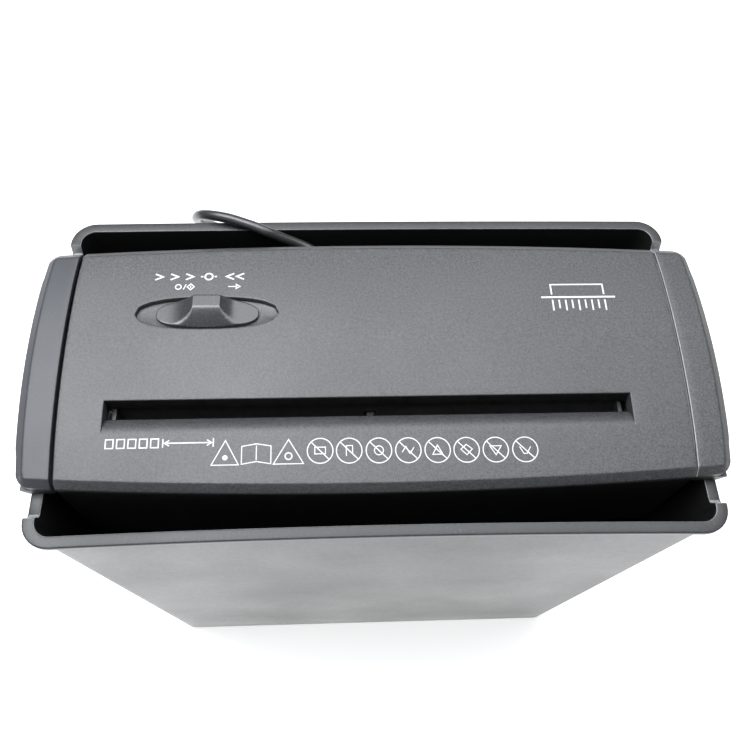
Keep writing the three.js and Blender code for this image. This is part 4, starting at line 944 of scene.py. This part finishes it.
def depth_lines(extra=()):
    """Shares of the half depth for the lines along X, close together at the edges."""
    near = [0.0, 0.12, 0.3, 0.9, 1.7, 2.4, 2.75, 2.95, 3.2, 3.5, 4.0, 4.35, 4.8, 5.2, 6.4, EDGE_ZONE, 10.0]
    lines = {round(-1 + d / HEAD_HALF_Y, 6) for d in near} | {round(1 - d / HEAD_HALF_Y, 6) for d in near}
    lines |= {round(y / HEAD_HALF_Y, 6) for y in np.arange(-48, 49, 4.0)}
    for y in extra:
        lines = {v for v in lines if abs(v * HEAD_HALF_Y - y) > 1.0 or abs(v) > 0.9}
    lines |= {round(y / HEAD_HALF_Y, 6) for y in extra}
    return sorted(lines)


def nearest(values, wanted):
    """Index of the value nearest to the wanted one; values of None are left out."""
    known = [i for i, value in enumerate(values) if value is not None]
    return min(known, key=lambda i: abs(values[i] - wanted))


def grid_shell(stations, lines, place, bottom_ends, hole=None, patch=None):
    """A closed shell of two grids joined at their edges, with a square hole and a patch let into the outer one.

    place(a, v, inner) gives a point; bottom_ends says at which end stations the skirt turns down.
    """
    body = Body()
    rows = [None, *lines, None]
    columns = list(stations)
    if bottom_ends[0]:
        columns = [None, *columns]
    if bottom_ends[1]:
        columns = [*columns, None]
    across = len(rows)

    def point(i, j, inner):
        a = columns[i] if columns[i] is not None else columns[1 if i == 0 else -2]
        v = rows[j] if rows[j] is not None else rows[1 if j == 0 else -2]
        x, y, z = place(a, v, inner)
        if columns[i] is None or rows[j] is None:
            z = SKIRT_Z + (0.0 if not inner else 0.05)
        return (x, y, z)

    count = len(columns) * across
    points = [point(i, j, inner) for inner in (False, True) for i in range(len(columns)) for j in range(across)]
    solid = set()
    for i in range(len(columns) - 1):
        for j in range(across - 1):
            a, v = columns[i], rows[j]
            if hole is None or a is None or v is None or not hole(a, columns[i + 1], v, rows[j + 1]):
                solid.add((i, j))
    patched = set()
    if patch is not None:
        i0, i1 = (nearest(columns, x) for x in patch[0])
        j0, j1 = (nearest(rows, v) for v in patch[1])
        patched = {(i, j) for i in range(i0, i1) for j in range(j0, j1)}
    faces = []
    edges = {}
    for i, j in solid:
        corners = [(i, j), (i + 1, j), (i + 1, j + 1), (i, j + 1)]
        if (i, j) not in patched:
            faces.append(tuple(c * across + r for c, r in corners))
        faces.append(tuple(count + c * across + r for c, r in reversed(corners)))
        for one, two in zip(corners, corners[1:] + corners[:1]):
            if (two, one) in edges:
                del edges[(two, one)]
            else:
                edges[(one, two)] = True
    for (ci, cj), (di, dj) in edges:
        one, two = ci * across + cj, di * across + dj
        faces.append((two, one, count + one, count + two))
    body.add(points, faces)
    if patch is not None:
        loop = [(i, j0) for i in range(i0, i1)] + [(i1, j) for j in range(j0, j1)]
        loop += [(i, j1) for i in range(i1, i0, -1)] + [(i0, j) for j in range(j1, j0, -1)]
        rim = [points[i * across + j] for i, j in loop]
        let_in_recess(body, rim)
    return body


def let_in_recess(body, rim):
    """Joins a square hole in the top to the oval recess of the slide switch, down to its floor."""
    cx, cy = RECESS_AT
    angles = [math.atan2((y - cy) / RECESS_HALF[1], (x - cx) / RECESS_HALF[0]) for x, y, _ in rim]
    floor_z = crown(cy) - RECESS_DEPTH
    rings = [rim]

    def oval_ring(grow, height):
        ring = []
        for a in angles:
            dx, dy = oval(a, RECESS_HALF[0] + grow, RECESS_HALF[1] + grow, 2.35)
            ring.append((cx + dx, cy + dy, height(cx + dx, cy + dy)))
        return ring

    edge = oval_ring(0.6, head_surface)
    for share in (0.3, 0.6, 0.85):
        ring = []
        for (x0, y0, _), (x1, y1, _) in zip(rim, edge):
            x, y = x0 + (x1 - x0) * share, y0 + (y1 - y0) * share
            ring.append((x, y, head_surface(x, y)))
        rings.append(ring)
    rings.append(edge)
    for grow in (0.35, 0.15, 0.0):
        rings.append(oval_ring(grow, lambda x, y, g=grow: head_surface(x, y) - rounded(g, 0.6)))
    rings.append(oval_ring(-0.1, lambda x, y: floor_z + 0.35))
    rings.append(oval_ring(-0.2, lambda x, y: floor_z + 0.1))
    rings.append(oval_ring(-0.45, lambda x, y: floor_z))
    for share in (0.7, 0.35):
        rings.append([(cx + (x - cx) * share, cy + (y - cy) * share, floor_z) for x, y, _ in rings[-1]])
    body.loops(rings, end_cap=True)


def cover_place(a, v, inner):
    """A point of the top cover; its inner skin dips under the recess."""
    seam = ease(abs(a), 118.0, SEAM)
    x, y = plan_place(a, v, seam, SHELL_WALL if inner else 0.0)
    if not inner:
        near_seam = SEAM - abs(a)
        return x, y, head_surface(x, y) - (rounded(near_seam, 0.4) if near_seam < 0.4 else 0.0)
    over_recess = ease(1 - math.hypot((x - RECESS_AT[0]) / 37.0, (y - RECESS_AT[1]) / 13.0), 0.0, 0.12)
    z = head_surface(x, y) - SHELL_WALL - (RECESS_DEPTH - 0.2) * over_recess
    return x, y, max(z, SKIRT_Z + 0.3)


def make_top_cover():
    """The crowned top between the two seams, open at the feed slot, with the switch's recess let in."""
    x0, x1 = SLOT_X
    near = [LIP_ROUND, 0.25, 0.12, 0.04, 0.0]
    stations = [-SEAM, -SEAM + 0.07, -SEAM + 0.2, -SEAM + 0.4, -130, -126, -122, -118.5]
    stations += [x0 - d for d in near] + [x0 + 0.1]
    for first, last, step in ((-112, -107, 2.5), (-106.4, -42.3, 1.6), (-38, 107, 4.0)):
        stations += list(np.arange(first, last, step))
    stations += [x1 - 0.1] + [x1 + d for d in reversed(near)]
    stations += [112, 116, 120, 124, 128, 130.6, SEAM - 0.4, SEAM - 0.2, SEAM - 0.07, SEAM]
    stations = sorted({round(s, 4) for s in stations})
    ramp = SLOT_Y[0] - RAMP_LENGTH
    around_slot = [ramp + d for d in (-0.05, 0.05, 1.4, 2.8, 4.2, 5.6, 6.6, 7.4)]
    around_slot += [SLOT_Y[0] - d for d in near]
    around_slot += [-23.6] + [SLOT_Y[1] + d for d in reversed(near)]
    around_recess = [RECESS_AT[1] + d for d in (-RECESS_PATCH, -8, -4, 0, 4, 8, RECESS_PATCH)]
    lines = depth_lines([*around_slot, *around_recess])

    def slot_gone(a0, a1, v0, v1):
        inside_x = a0 > x0 - 0.01 and a1 is not None and a1 < x1 + 0.01
        y0, y1 = v0 * HEAD_HALF_Y, (v1 if v1 is not None else 2) * HEAD_HALF_Y
        return inside_x and y0 > SLOT_Y[0] - 0.01 and y1 < SLOT_Y[1] + 0.01

    patch = ((-109.5, -40.4), tuple((RECESS_AT[1] + d) / HEAD_HALF_Y for d in (-RECESS_PATCH, RECESS_PATCH)))
    body = grid_shell(stations, lines, cover_place, (False, False), slot_gone, patch)
    return make_piece("top_cover_shell", body, COVER, 30)


def cap_place(side, gap):
    """A rule for the points of one end cap, whose seam lies a gap away from the cover's."""
    def place(a, v, inner):
        seam = ease(HEAD_HALF_X - a, 3.0, HEAD_HALF_X - SEAM)
        x, y = plan_place(side * a, v, seam, SHELL_WALL if inner else 0.0)
        z = head_surface(x, y)
        if inner:
            return x, y, max(z - SHELL_WALL, SKIRT_Z + 0.3)
        near_seam = a - (SEAM + gap)
        return x, y, z - (rounded(near_seam, 0.4) if near_seam < 0.4 else 0.0)

    return place


def make_end_cap(name, side, gap, finish):
    """The left (-1) or right (1) end of the head."""
    start = SEAM + gap
    from_end = [0.0, 0.15, 0.4, 0.9, 1.6, 2.3, 2.75, 3.2, 3.6, 4.0, 4.35, 4.8, 5.2, 6.0, 7.0, 9.0, 11.5, 14.5]
    stations = [start, start + 0.07, start + 0.2, start + 0.4]
    stations += sorted(HEAD_HALF_X - d for d in from_end if HEAD_HALF_X - d > start + 1.5)
    body = grid_shell(stations, depth_lines(), cap_place(side, gap), (False, True))
    return make_piece(name, body, finish, 34)


def make_feed_throat():
    """Walls of the feed slot under the cover, square at their lower edge."""
    (x0, x1), (y0, y1) = SLOT_X, SLOT_Y
    front_top, back_top = crown(y0) - RAMP_DEPTH - 0.5, crown(y1) - 0.6

    def ring(grow, heights):
        left, right, front, back = x0 - grow, x1 + grow, y0 - grow, y1 + grow
        corners = [(left, front), (right, front), (right, back), (left, back)]
        return [(x, y, z) for (x, y), z in zip(corners, heights)]

    top = (front_top, front_top, back_top, back_top)
    flat = (THROAT_BOTTOM,) * 4
    body = Body()
    rings = [ring(0.03, top), ring(0.03, flat), ring(THROAT_WALL, flat), ring(THROAT_WALL, top)]
    body.loops([*rings, rings[0]])
    # The throat's walls take the painted shade of the bin's inside.
    return make_piece("feed_throat", body, PAINTED_SHADE_INSIDE, 20)


# Picks the faces beside the right seam that take the painted highlight.
def right_seam_edge(centre, normal):
    seam = SEAM + SEAM_BOW * (1 - (centre.y / HEAD_HALF_Y) ** 2)
    return centre.x > 0 and -0.42 < centre.x - seam < 0.85 and 0.15 < normal.z < 0.995


# Painted highlight along the right seam, on the cover and on the right cap.
top_cover = finish_faces(make_top_cover(), PAINTED_EDGE_HIGHLIGHT, right_seam_edge)
right_cap = finish_faces(make_end_cap("right_cap_shell", 1, 0.4, COVER), PAINTED_EDGE_HIGHLIGHT, right_seam_edge)
settle(top_cover, "head", ["top_cover"])
settle(make_feed_throat(), "head")
settle(right_cap, "head", ["right_end_cap"])
settle(make_end_cap("left_cap_shell", -1, 1.6, ARM), "arm", ["arm_end_cap"])


# ------------------------------------------------------------------ slide switch
SLIDER_HALF = (22.6, 7.1)
RIDGE_HALF = 5.9
SLIDER_RISE = 4.8


def slider_height(x, y):
    """Finger scoops that climb to a flat ridge, cut into a loaf whose front falls away."""
    share = min(1.0, max(0.0, (SLIDER_HALF[0] - abs(x)) / (SLIDER_HALF[0] - RIDGE_HALF)))
    scoop = 1.2 + 0.5 * share + (SLIDER_RISE - 0.5) * share**3.4
    fall = min(1.0, max(0.0, (0.9 - y) / 7.6))
    loaf = 1.7 + (SLIDER_RISE - 0.5) * (1 - fall**1.15)
    return min(scoop, loaf)


def make_slider():
    """The sliding finger grip and the tongue that goes down into the switch."""
    (hx, hy), base = SLIDER_HALF, crown(RECESS_AT[1]) - RECESS_DEPTH + 0.3
    stations = [0.0, 2.0, 4.0, 5.4, 5.75, 5.9, 6.0, 6.3, 7, 8, 9.5, 11, 13, 15, 17]
    stations += [18.5, 19.8, 20.8, 21.5, 22.0, 22.35, 22.55]
    stations = sorted({-s for s in stations} | set(stations))
    shares = [i / 14 for i in range(-13, 14)]
    shares = [-1, -0.985, -0.955, *shares, 0.955, 0.985, 1]
    sections = []
    for x in stations:
        half = hy * max(0.0, 1 - (abs(x) / hx) ** 2.5) ** (1 / 2.5)
        section = [(x, -half, 0.0)]
        for v in shares:
            inward = (1 - abs(v)) * half
            fall = rounded(min(inward, 0.5), 0.5)
            end = rounded(min(hx - abs(x), 0.5), 0.5) * 0.6
            section.append((x, v * half, max(0.5, slider_height(x, v * half) - fall - end)))
        section.append((x, half, 0.0))
        sections.append([(RECESS_AT[0] + px, RECESS_AT[1] + py, base + pz) for px, py, pz in section])
    body = Body()
    body.capped(sections)
    body.box(
        (RECESS_AT[0] - 5, RECESS_AT[1] - 1.5, base - 6),
        (RECESS_AT[0] + 5, RECESS_AT[1] + 1.5, base + 0.2),
    )
    return make_piece("finger_slider", body, SLIDER, 40)


settle(make_slider(), "slider", ["switch_slider"])

# ------------------------------------------------------------------ printed marks
FINE_LINE = 0.42
INK_WIDTH = 0.5
BOLD_LINE = 0.75
INK_TOP = 0.06  # above the surface
INK_SINK = 0.04  # below the surface
CIRCLE_X = (-24.8, -12.8, -0.5, 11.7, 23.9, 36.0, 48.2, 60.6)
CIRCLE_Y = (-43.4, -44.4)
CIRCLE_RADIUS = 5.3


def stroke(body, line, width=INK_WIDTH, closed=False, surface=head_surface):
    """A thin ribbon of ink along a line, following the surface under it."""
    spots = [Vector(p) for p in line]
    if closed:
        spots.append(spots[0])
    fine = []
    for a, b in zip(spots, spots[1:]):
        parts = max(1, math.ceil((b - a).length / 3.0))
        fine += [a + (b - a) * (k / parts) for k in range(parts)]
    if not closed:
        fine.append(spots[-1])
    rings = []
    for i, at in enumerate(fine):
        before = fine[i - 1] if closed or i > 0 else at
        after = fine[(i + 1) % len(fine)] if closed or i < len(fine) - 1 else at
        ways = [w.normalized() for w in (at - before, after - at) if w.length > 0]
        sides = [Vector((-w.y, w.x)) for w in ways]
        mitre = sum(sides, Vector((0, 0))).normalized()
        reach = width / 2 / max(0.45, mitre.dot(sides[0]))
        left, right = at + mitre * reach, at - mitre * reach
        ring = [(*left, surface(*left) + INK_TOP), (*right, surface(*right) + INK_TOP)]
        ring += [(*right, surface(*right) - INK_SINK), (*left, surface(*left) - INK_SINK)]
        rings.append(ring)
    if closed:
        body.loops([*rings, rings[0]])
    else:
        body.capped(rings)


def spot(body, x, y, radius):
    """A filled round dot."""
    rim = round_line(x, y, radius, 14)
    body.capped([[(px, py, head_surface(px, py) + z) for px, py in rim] for z in (-INK_SINK, INK_TOP)])


def switch_marks(body):
    """Forward, stop and back, over the slide switch."""
    for x in (-98.6, -91.8, -85.0):
        stroke(body, [(x, 41.7), (x + 3.4, 40.1), (x, 38.5)], BOLD_LINE)
    stroke(body, round_line(-74.7, 40.1, 1.7), BOLD_LINE, True)
    stroke(body, [(-78.3, 40.1), (-77.2, 40.1)], BOLD_LINE)
    stroke(body, [(-72.2, 40.1), (-71.1, 40.1)], BOLD_LINE)
    for x in (-63.4, -58.9):
        stroke(body, [(x, 41.7), (x - 3.4, 40.1), (x, 38.5)], BOLD_LINE)
    stroke(body, round_line(-88.0, 34.6, 1.25), INK_WIDTH, True)
    stroke(body, [(-85.7, 33.2), (-84.6, 36.0)])
    stroke(body, [(-84.1, 34.6), (-82.5, 36.2), (-80.9, 34.6), (-82.5, 33.0)], INK_WIDTH, True)
    stroke(body, [(-82.5, 34.0), (-82.5, 35.2)])
    stroke(body, [(-65.8, 34.6), (-62.4, 34.6)])
    stroke(body, [(-62.2, 35.7), (-60.5, 34.6), (-62.2, 33.5)], INK_WIDTH, True)


def sheet_and_strips_mark(body):
    """A sheet over a slot, with strips under it."""
    stroke(body, [(75.5, 27.2), (109.5, 27.2)], 0.9)
    stroke(body, [(80.5, 28.6), (80.5, 34.0), (104.5, 34.0), (104.5, 28.6)], 0.7)
    for k in range(9):
        x = 80.5 + 3.0 * k
        stroke(body, [(x, 25.8), (x, 20.2 + 1.1 * (k % 2))], 0.7)


def capacity_marks(body):
    """Five small sheets and the width that they may have."""
    for k in range(5):
        x = -112.6 + 4.6 * k
        stroke(body, [(x, -40.9), (x + 3.1, -40.9), (x + 3.1, -37.2), (x, -37.2)], INK_WIDTH, True)
    stroke(body, [(-88.6, -39.1), (-69.4, -39.1)], 0.55)
    for x, way in ((-89.3, 1), (-68.7, -1)):
        stroke(body, [(x, -40.9), (x, -37.3)], 0.55)
        stroke(body, [(x + way * 2.6, -40.3), (x + way * 0.7, -39.1), (x + way * 2.6, -37.9)])


def care_marks(body):
    """Two triangles and an open page, then a small sign inside each of the round marks."""
    for x0, x1 in ((-69.3, -58.2), (-44.0, -31.6)):
        stroke(body, [(x0, -48.6), (x1, -48.6), ((x0 + x1) / 2, -38.4)], FINE_LINE, True)
    spot(body, -63.75, -45.6, 1.1)
    stroke(body, round_line(-37.8, -45.4, 1.4, 16), 0.55, True)
    page = [(-57.0, -48.4), (-51.0, -47.4), (-45.0, -48.4), (-45.0, -41.0), (-51.0, -40.0), (-57.0, -41.0)]
    stroke(body, page, FINE_LINE, True)
    stroke(body, [(-51.0, -46.8), (-51.0, -40.7)], FINE_LINE)
    signs = [
        ([(-2.2, -1.3), (2.2, -1.3), (2.2, 1.5), (-2.2, 1.5)], True),
        ([(-1.2, -2.3), (-1.2, 2.1), (1.4, 2.1), (1.4, -1.2)], False),
        (round_line(0, 0, 1.9, 12), True),
        ([(-2.6, -0.8), (-1.0, 1.6), (0.6, -1.4), (2.4, 1.2)], False),
        ([(-2.1, -1.8), (2.1, -1.8), (0, 2.1)], True),
        ([(-2.4, 0.3), (0, 2.3), (2.4, 0.3), (0, -2.1)], True),
        ([(-2.4, 1.6), (2.4, 1.6), (0, -2.2)], True),
        ([(-2.3, 1.2), (-0.7, -1.7), (0.7, -1.7), (2.3, 1.2)], False),
    ]
    for x, (line, closed) in zip(CIRCLE_X, signs):
        y = circle_y(x)
        stroke(body, [(x + px, y + py) for px, py in line], 0.4, closed)


def circle_y(x):
    """The row of round marks runs a little towards the front at the right."""
    share = (x - CIRCLE_X[0]) / (CIRCLE_X[-1] - CIRCLE_X[0])
    return CIRCLE_Y[0] + (CIRCLE_Y[1] - CIRCLE_Y[0]) * share


def make_slashed_circles():
    """A slashed circle made flat, then set on the slope of the top at each place."""
    ring = Body()
    stroke(ring, round_line(0, 0, CIRCLE_RADIUS, 32), 0.45, True, lambda x, y: 0.0)
    reach = CIRCLE_RADIUS * math.sqrt(0.5) - 0.2
    stroke(ring, [(-reach, reach), (reach, -reach)], 0.45, False, lambda x, y: 0.0)
    shape = make_piece("slashed_circle", ring, INK, 20)
    places = [(x, circle_y(x), head_surface(x, circle_y(x)) + 0.01) for x in CIRCLE_X]
    slope = (head_surface(0, CIRCLE_Y[0] + 2) - head_surface(0, CIRCLE_Y[0] - 2)) / 4
    return set_on_points("slashed_circle_marks", shape, places, INK, lean=(math.atan(slope), 0.0, 0.0))


marks = Body()
for add_marks in (switch_marks, sheet_and_strips_mark, capacity_marks, care_marks):
    add_marks(marks)
settle(make_piece("printed_marks", marks, INK, 20), "head")
settle(make_slashed_circles(), "head")


# ------------------------------------------------------------------ cutters
DISC_RADIUS = 13.4
DISC_CORE = 6.0
SHAFT_RADIUS = 5.0
STRIP_WIDTH = 7.2
STRIP_COUNT = 30
PACK_START = -111.2
DISC_HALF = STRIP_WIDTH / 2 - 0.2
TOOTH_COUNT = 24
TOOTH_DEPTH = 0.75


def make_disc(name):
    """One cutting disc about the X axis: a toothed rim, hollow-ground sides and a bore."""
    side = [
        (0.0, DISC_CORE - 0.1, 0.0), (0.0, 7.4, 0.0), (0.5, 7.9, 0.0), (0.5, 11.2, 0.0), (0.0, 11.9, 0.0),
        (0.0, DISC_RADIUS, TOOTH_DEPTH),
    ]
    stations = [(inset - DISC_HALF, radius, tooth) for inset, radius, tooth in side]
    stations += [(DISC_HALF - inset, radius, tooth) for inset, radius, tooth in reversed(side)]
    rings = []
    for x, radius, tooth in stations:
        ring = []
        for k in range(2 * TOOTH_COUNT):
            a = math.pi * k / TOOTH_COUNT
            r = radius - tooth * (k % 2)
            ring.append((x, r * math.cos(a), r * math.sin(a)))
        rings.append(ring)
    body = Body()
    body.loops([*rings, rings[0]])
    return make_piece(name, body, TURNED, 25)


def make_cutter(node, first_strip):
    """Toothed discs on every second strip width, and the turned shaft that carries them."""
    low, high = box_mm(node)
    y, z = (low.y + high.y) / 2, (low.z + high.z) / 2
    places = [(PACK_START + (i + 0.5) * STRIP_WIDTH, y, z) for i in range(first_strip, STRIP_COUNT, 2)]
    discs = set_on_points(f"{node}_discs", make_disc(f"{node}_disc"), places, TURNED, turn=(0.41, 0.0, 0.0))
    start, end = PACK_START - low.x, PACK_START + STRIP_COUNT * STRIP_WIDTH - low.x
    length = high.x - low.x
    profile = [
        (0.01, 0.0), (SHAFT_RADIUS - 0.7, 0.0), (SHAFT_RADIUS, 0.7), (SHAFT_RADIUS, start - 0.6),
        (DISC_CORE - 0.4, start - 0.6), (DISC_CORE, start - 0.2), (DISC_CORE, end + 0.2),
        (DISC_CORE - 0.4, end + 0.6), (SHAFT_RADIUS, end + 0.6), (SHAFT_RADIUS, length - 0.7),
        (SHAFT_RADIUS - 0.7, length), (0.01, length),
    ]
    shaft = Body()
    shaft.loops(turned(profile, (low.x, y, z), (1, 0, 0), 28))
    settle(discs, f"{node}_set", [node])
    settle(make_piece(f"{node}_shaft", shaft, TURNED, 30), f"{node}_set")


make_cutter("front_cutter", 0)
make_cutter("rear_cutter", 1)


# ------------------------------------------------------------------ screws, motor and small parts
def make_screw():
    """A pan-head screw, its head down at the origin, with a cross recess and a coned tip."""
    low, high = box_mm("housing_screw_1")
    head, length = (high.x - low.x) / 2, high.z - low.z
    shank = 1.45

    def level(outline, z):
        return [(x, y, z) for x, y in outline]

    def round_ring(radius, z):
        return level(round_line(0, 0, radius, 24), z)

    cross = []
    for k in range(24):
        arm = round(k / 6)
        step = abs(k - 6 * arm)
        a = arm * math.pi / 2 + (k - 6 * arm) * math.pi / 12 * (0.72 if step == 1 else 1.0)
        r = (1.75, 1.7, 0.75, 0.75)[step]
        cross.append((r * math.cos(a), r * math.sin(a)))
    body = Body()
    body.capped([
        round_ring(0.2, 1.5), level(cross, 1.4), level(cross, 0.05), round_ring(head * 0.72, 0.12),
        round_ring(head * 0.93, 0.6), round_ring(head, 1.3), round_ring(head, 1.9), round_ring(shank, 1.95),
        round_ring(shank, length - 1.6), round_ring(0.35, length),
    ])
    return make_piece("pan_head_screw", body, STEEL, 28)


def make_housing_screws():
    """The four screws that hold the cover on the housing, heads down."""
    names = [f"housing_screw_{k}" for k in range(1, 5)]
    places = []
    for low, high in map(box_mm, names):
        places.append(((low.x + high.x) / 2, (low.y + high.y) / 2, low.z))
    screws = set_on_points("housing_screws", make_screw(), places, STEEL, turn=(0.0, 0.0, 0.7))
    settle(screws, "head", names)


def turned_part(node, finish, profile_of, count):
    """Stands for a round CAD part along X; profile_of(radius, length) lists (radius, distance) pairs."""
    low, high = box_mm(node)
    radius, length = (high.z - low.z) / 2, high.x - low.x
    centre = (low.x, (low.y + high.y) / 2, (low.z + high.z) / 2)
    body = Body()
    body.loops(turned(profile_of(radius, length), centre, (1, 0, 0), count))
    settle(make_piece(f"{node}_turned", body, finish, 30), "head", [node])


def both_ends(end, length):
    """A profile whose second end mirrors the first."""
    return [*end, *[(radius, length - at) for radius, at in reversed(end)]]


def rod_profile(r, length):
    """A rod with chamfered ends and a groove for a retaining ring near each."""
    end = [(0.01, 0), (r - 0.4, 0), (r, 0.4), (r, 2.4), (r - 0.25, 2.5), (r - 0.25, 3.1), (r, 3.2)]
    return both_ends(end, length)


def can_profile(r, length):
    """A drawn can: a rounded end, a rolled groove near the open end and a well for the shaft."""
    return [
        (0.01, 0.0), (r - 2.4, 0.0), (r - 1.2, 0.3), (r - 0.35, 1.0), (r, 2.2), (r, length - 4.0),
        (r - 0.3, length - 3.8), (r - 0.3, length - 2.9), (r, length - 2.7), (r, length - 0.6),
        (r - 0.6, length), (5.2, length), (5.0, length - 0.5), (2.0, length - 0.5),
        (2.0, length - 12.6), (0.01, length - 12.6),
    ]


def fuse_profile(r, length):
    """A thinner tube between two end caps."""
    return both_ends([(0.01, 0.0), (r - 0.3, 0.0), (r, 0.3), (r, 5.2), (r - 0.3, 5.4)], length)


def boxed_part(node, finish, rounding, feet):
    """Stands for a moulded case on the board: rounded edges and four feet."""
    low, high = box_mm(node)
    body = Body()
    body.box((low.x, low.y, low.z + 0.7), tuple(high))
    for x in (low.x + feet, high.x - feet):
        for y in (low.y + feet, high.y - feet):
            body.box((x - 0.6, y - 0.6, low.z), (x + 0.6, y + 0.6, low.z + 0.9))
    piece = soften(make_piece(f"{node}_case", body, finish, 35), rounding, 3)
    settle(piece, "head", [node])


make_housing_screws()
for rod in range(1, 5):
    turned_part(f"tie_rod_{rod}", STEEL, rod_profile, 20)
turned_part("motor_can", STEEL, can_profile, 48)
turned_part("fuse", BRASS, fuse_profile, 20)
boxed_part("suppression_capacitor", FILM, 0.8, 2.2)
boxed_part("relay", HOUSING, 0.5, 2.0)

# ------------------------------------------------------------------ carried-over parts
NODE_FINISHES = {
    HOUSING: ["lower_housing", "mode_switch", "paper_guide", "sensor_switch", "front_stripper_comb",
              "rear_stripper_comb", "motor_cradle", "gearbox_cover", "paper_sensor_lever"],
    BLACKENED: ["left_side_plate", "right_side_plate"],
    STEEL: ["motor_shaft", "second_gear_axle", "first_gear_axle",
            "front_sync_gear", "rear_sync_gear", "cutter_gear"],
    NYLON: ["front_left_bush", "rear_left_bush", "front_right_bush", "rear_right_bush", "motor_end_cap",
            "second_reduction_gear", "first_reduction_gear"],
    ARM: ["extension_arm"],
    BOARD: ["circuit_board"],
    BRASS: ["motor_pinion"],
}
for finish, names in NODE_FINISHES.items():
    for name in names:
        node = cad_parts[name]
        node.data.materials.clear()
        node.data.materials.append(finish)
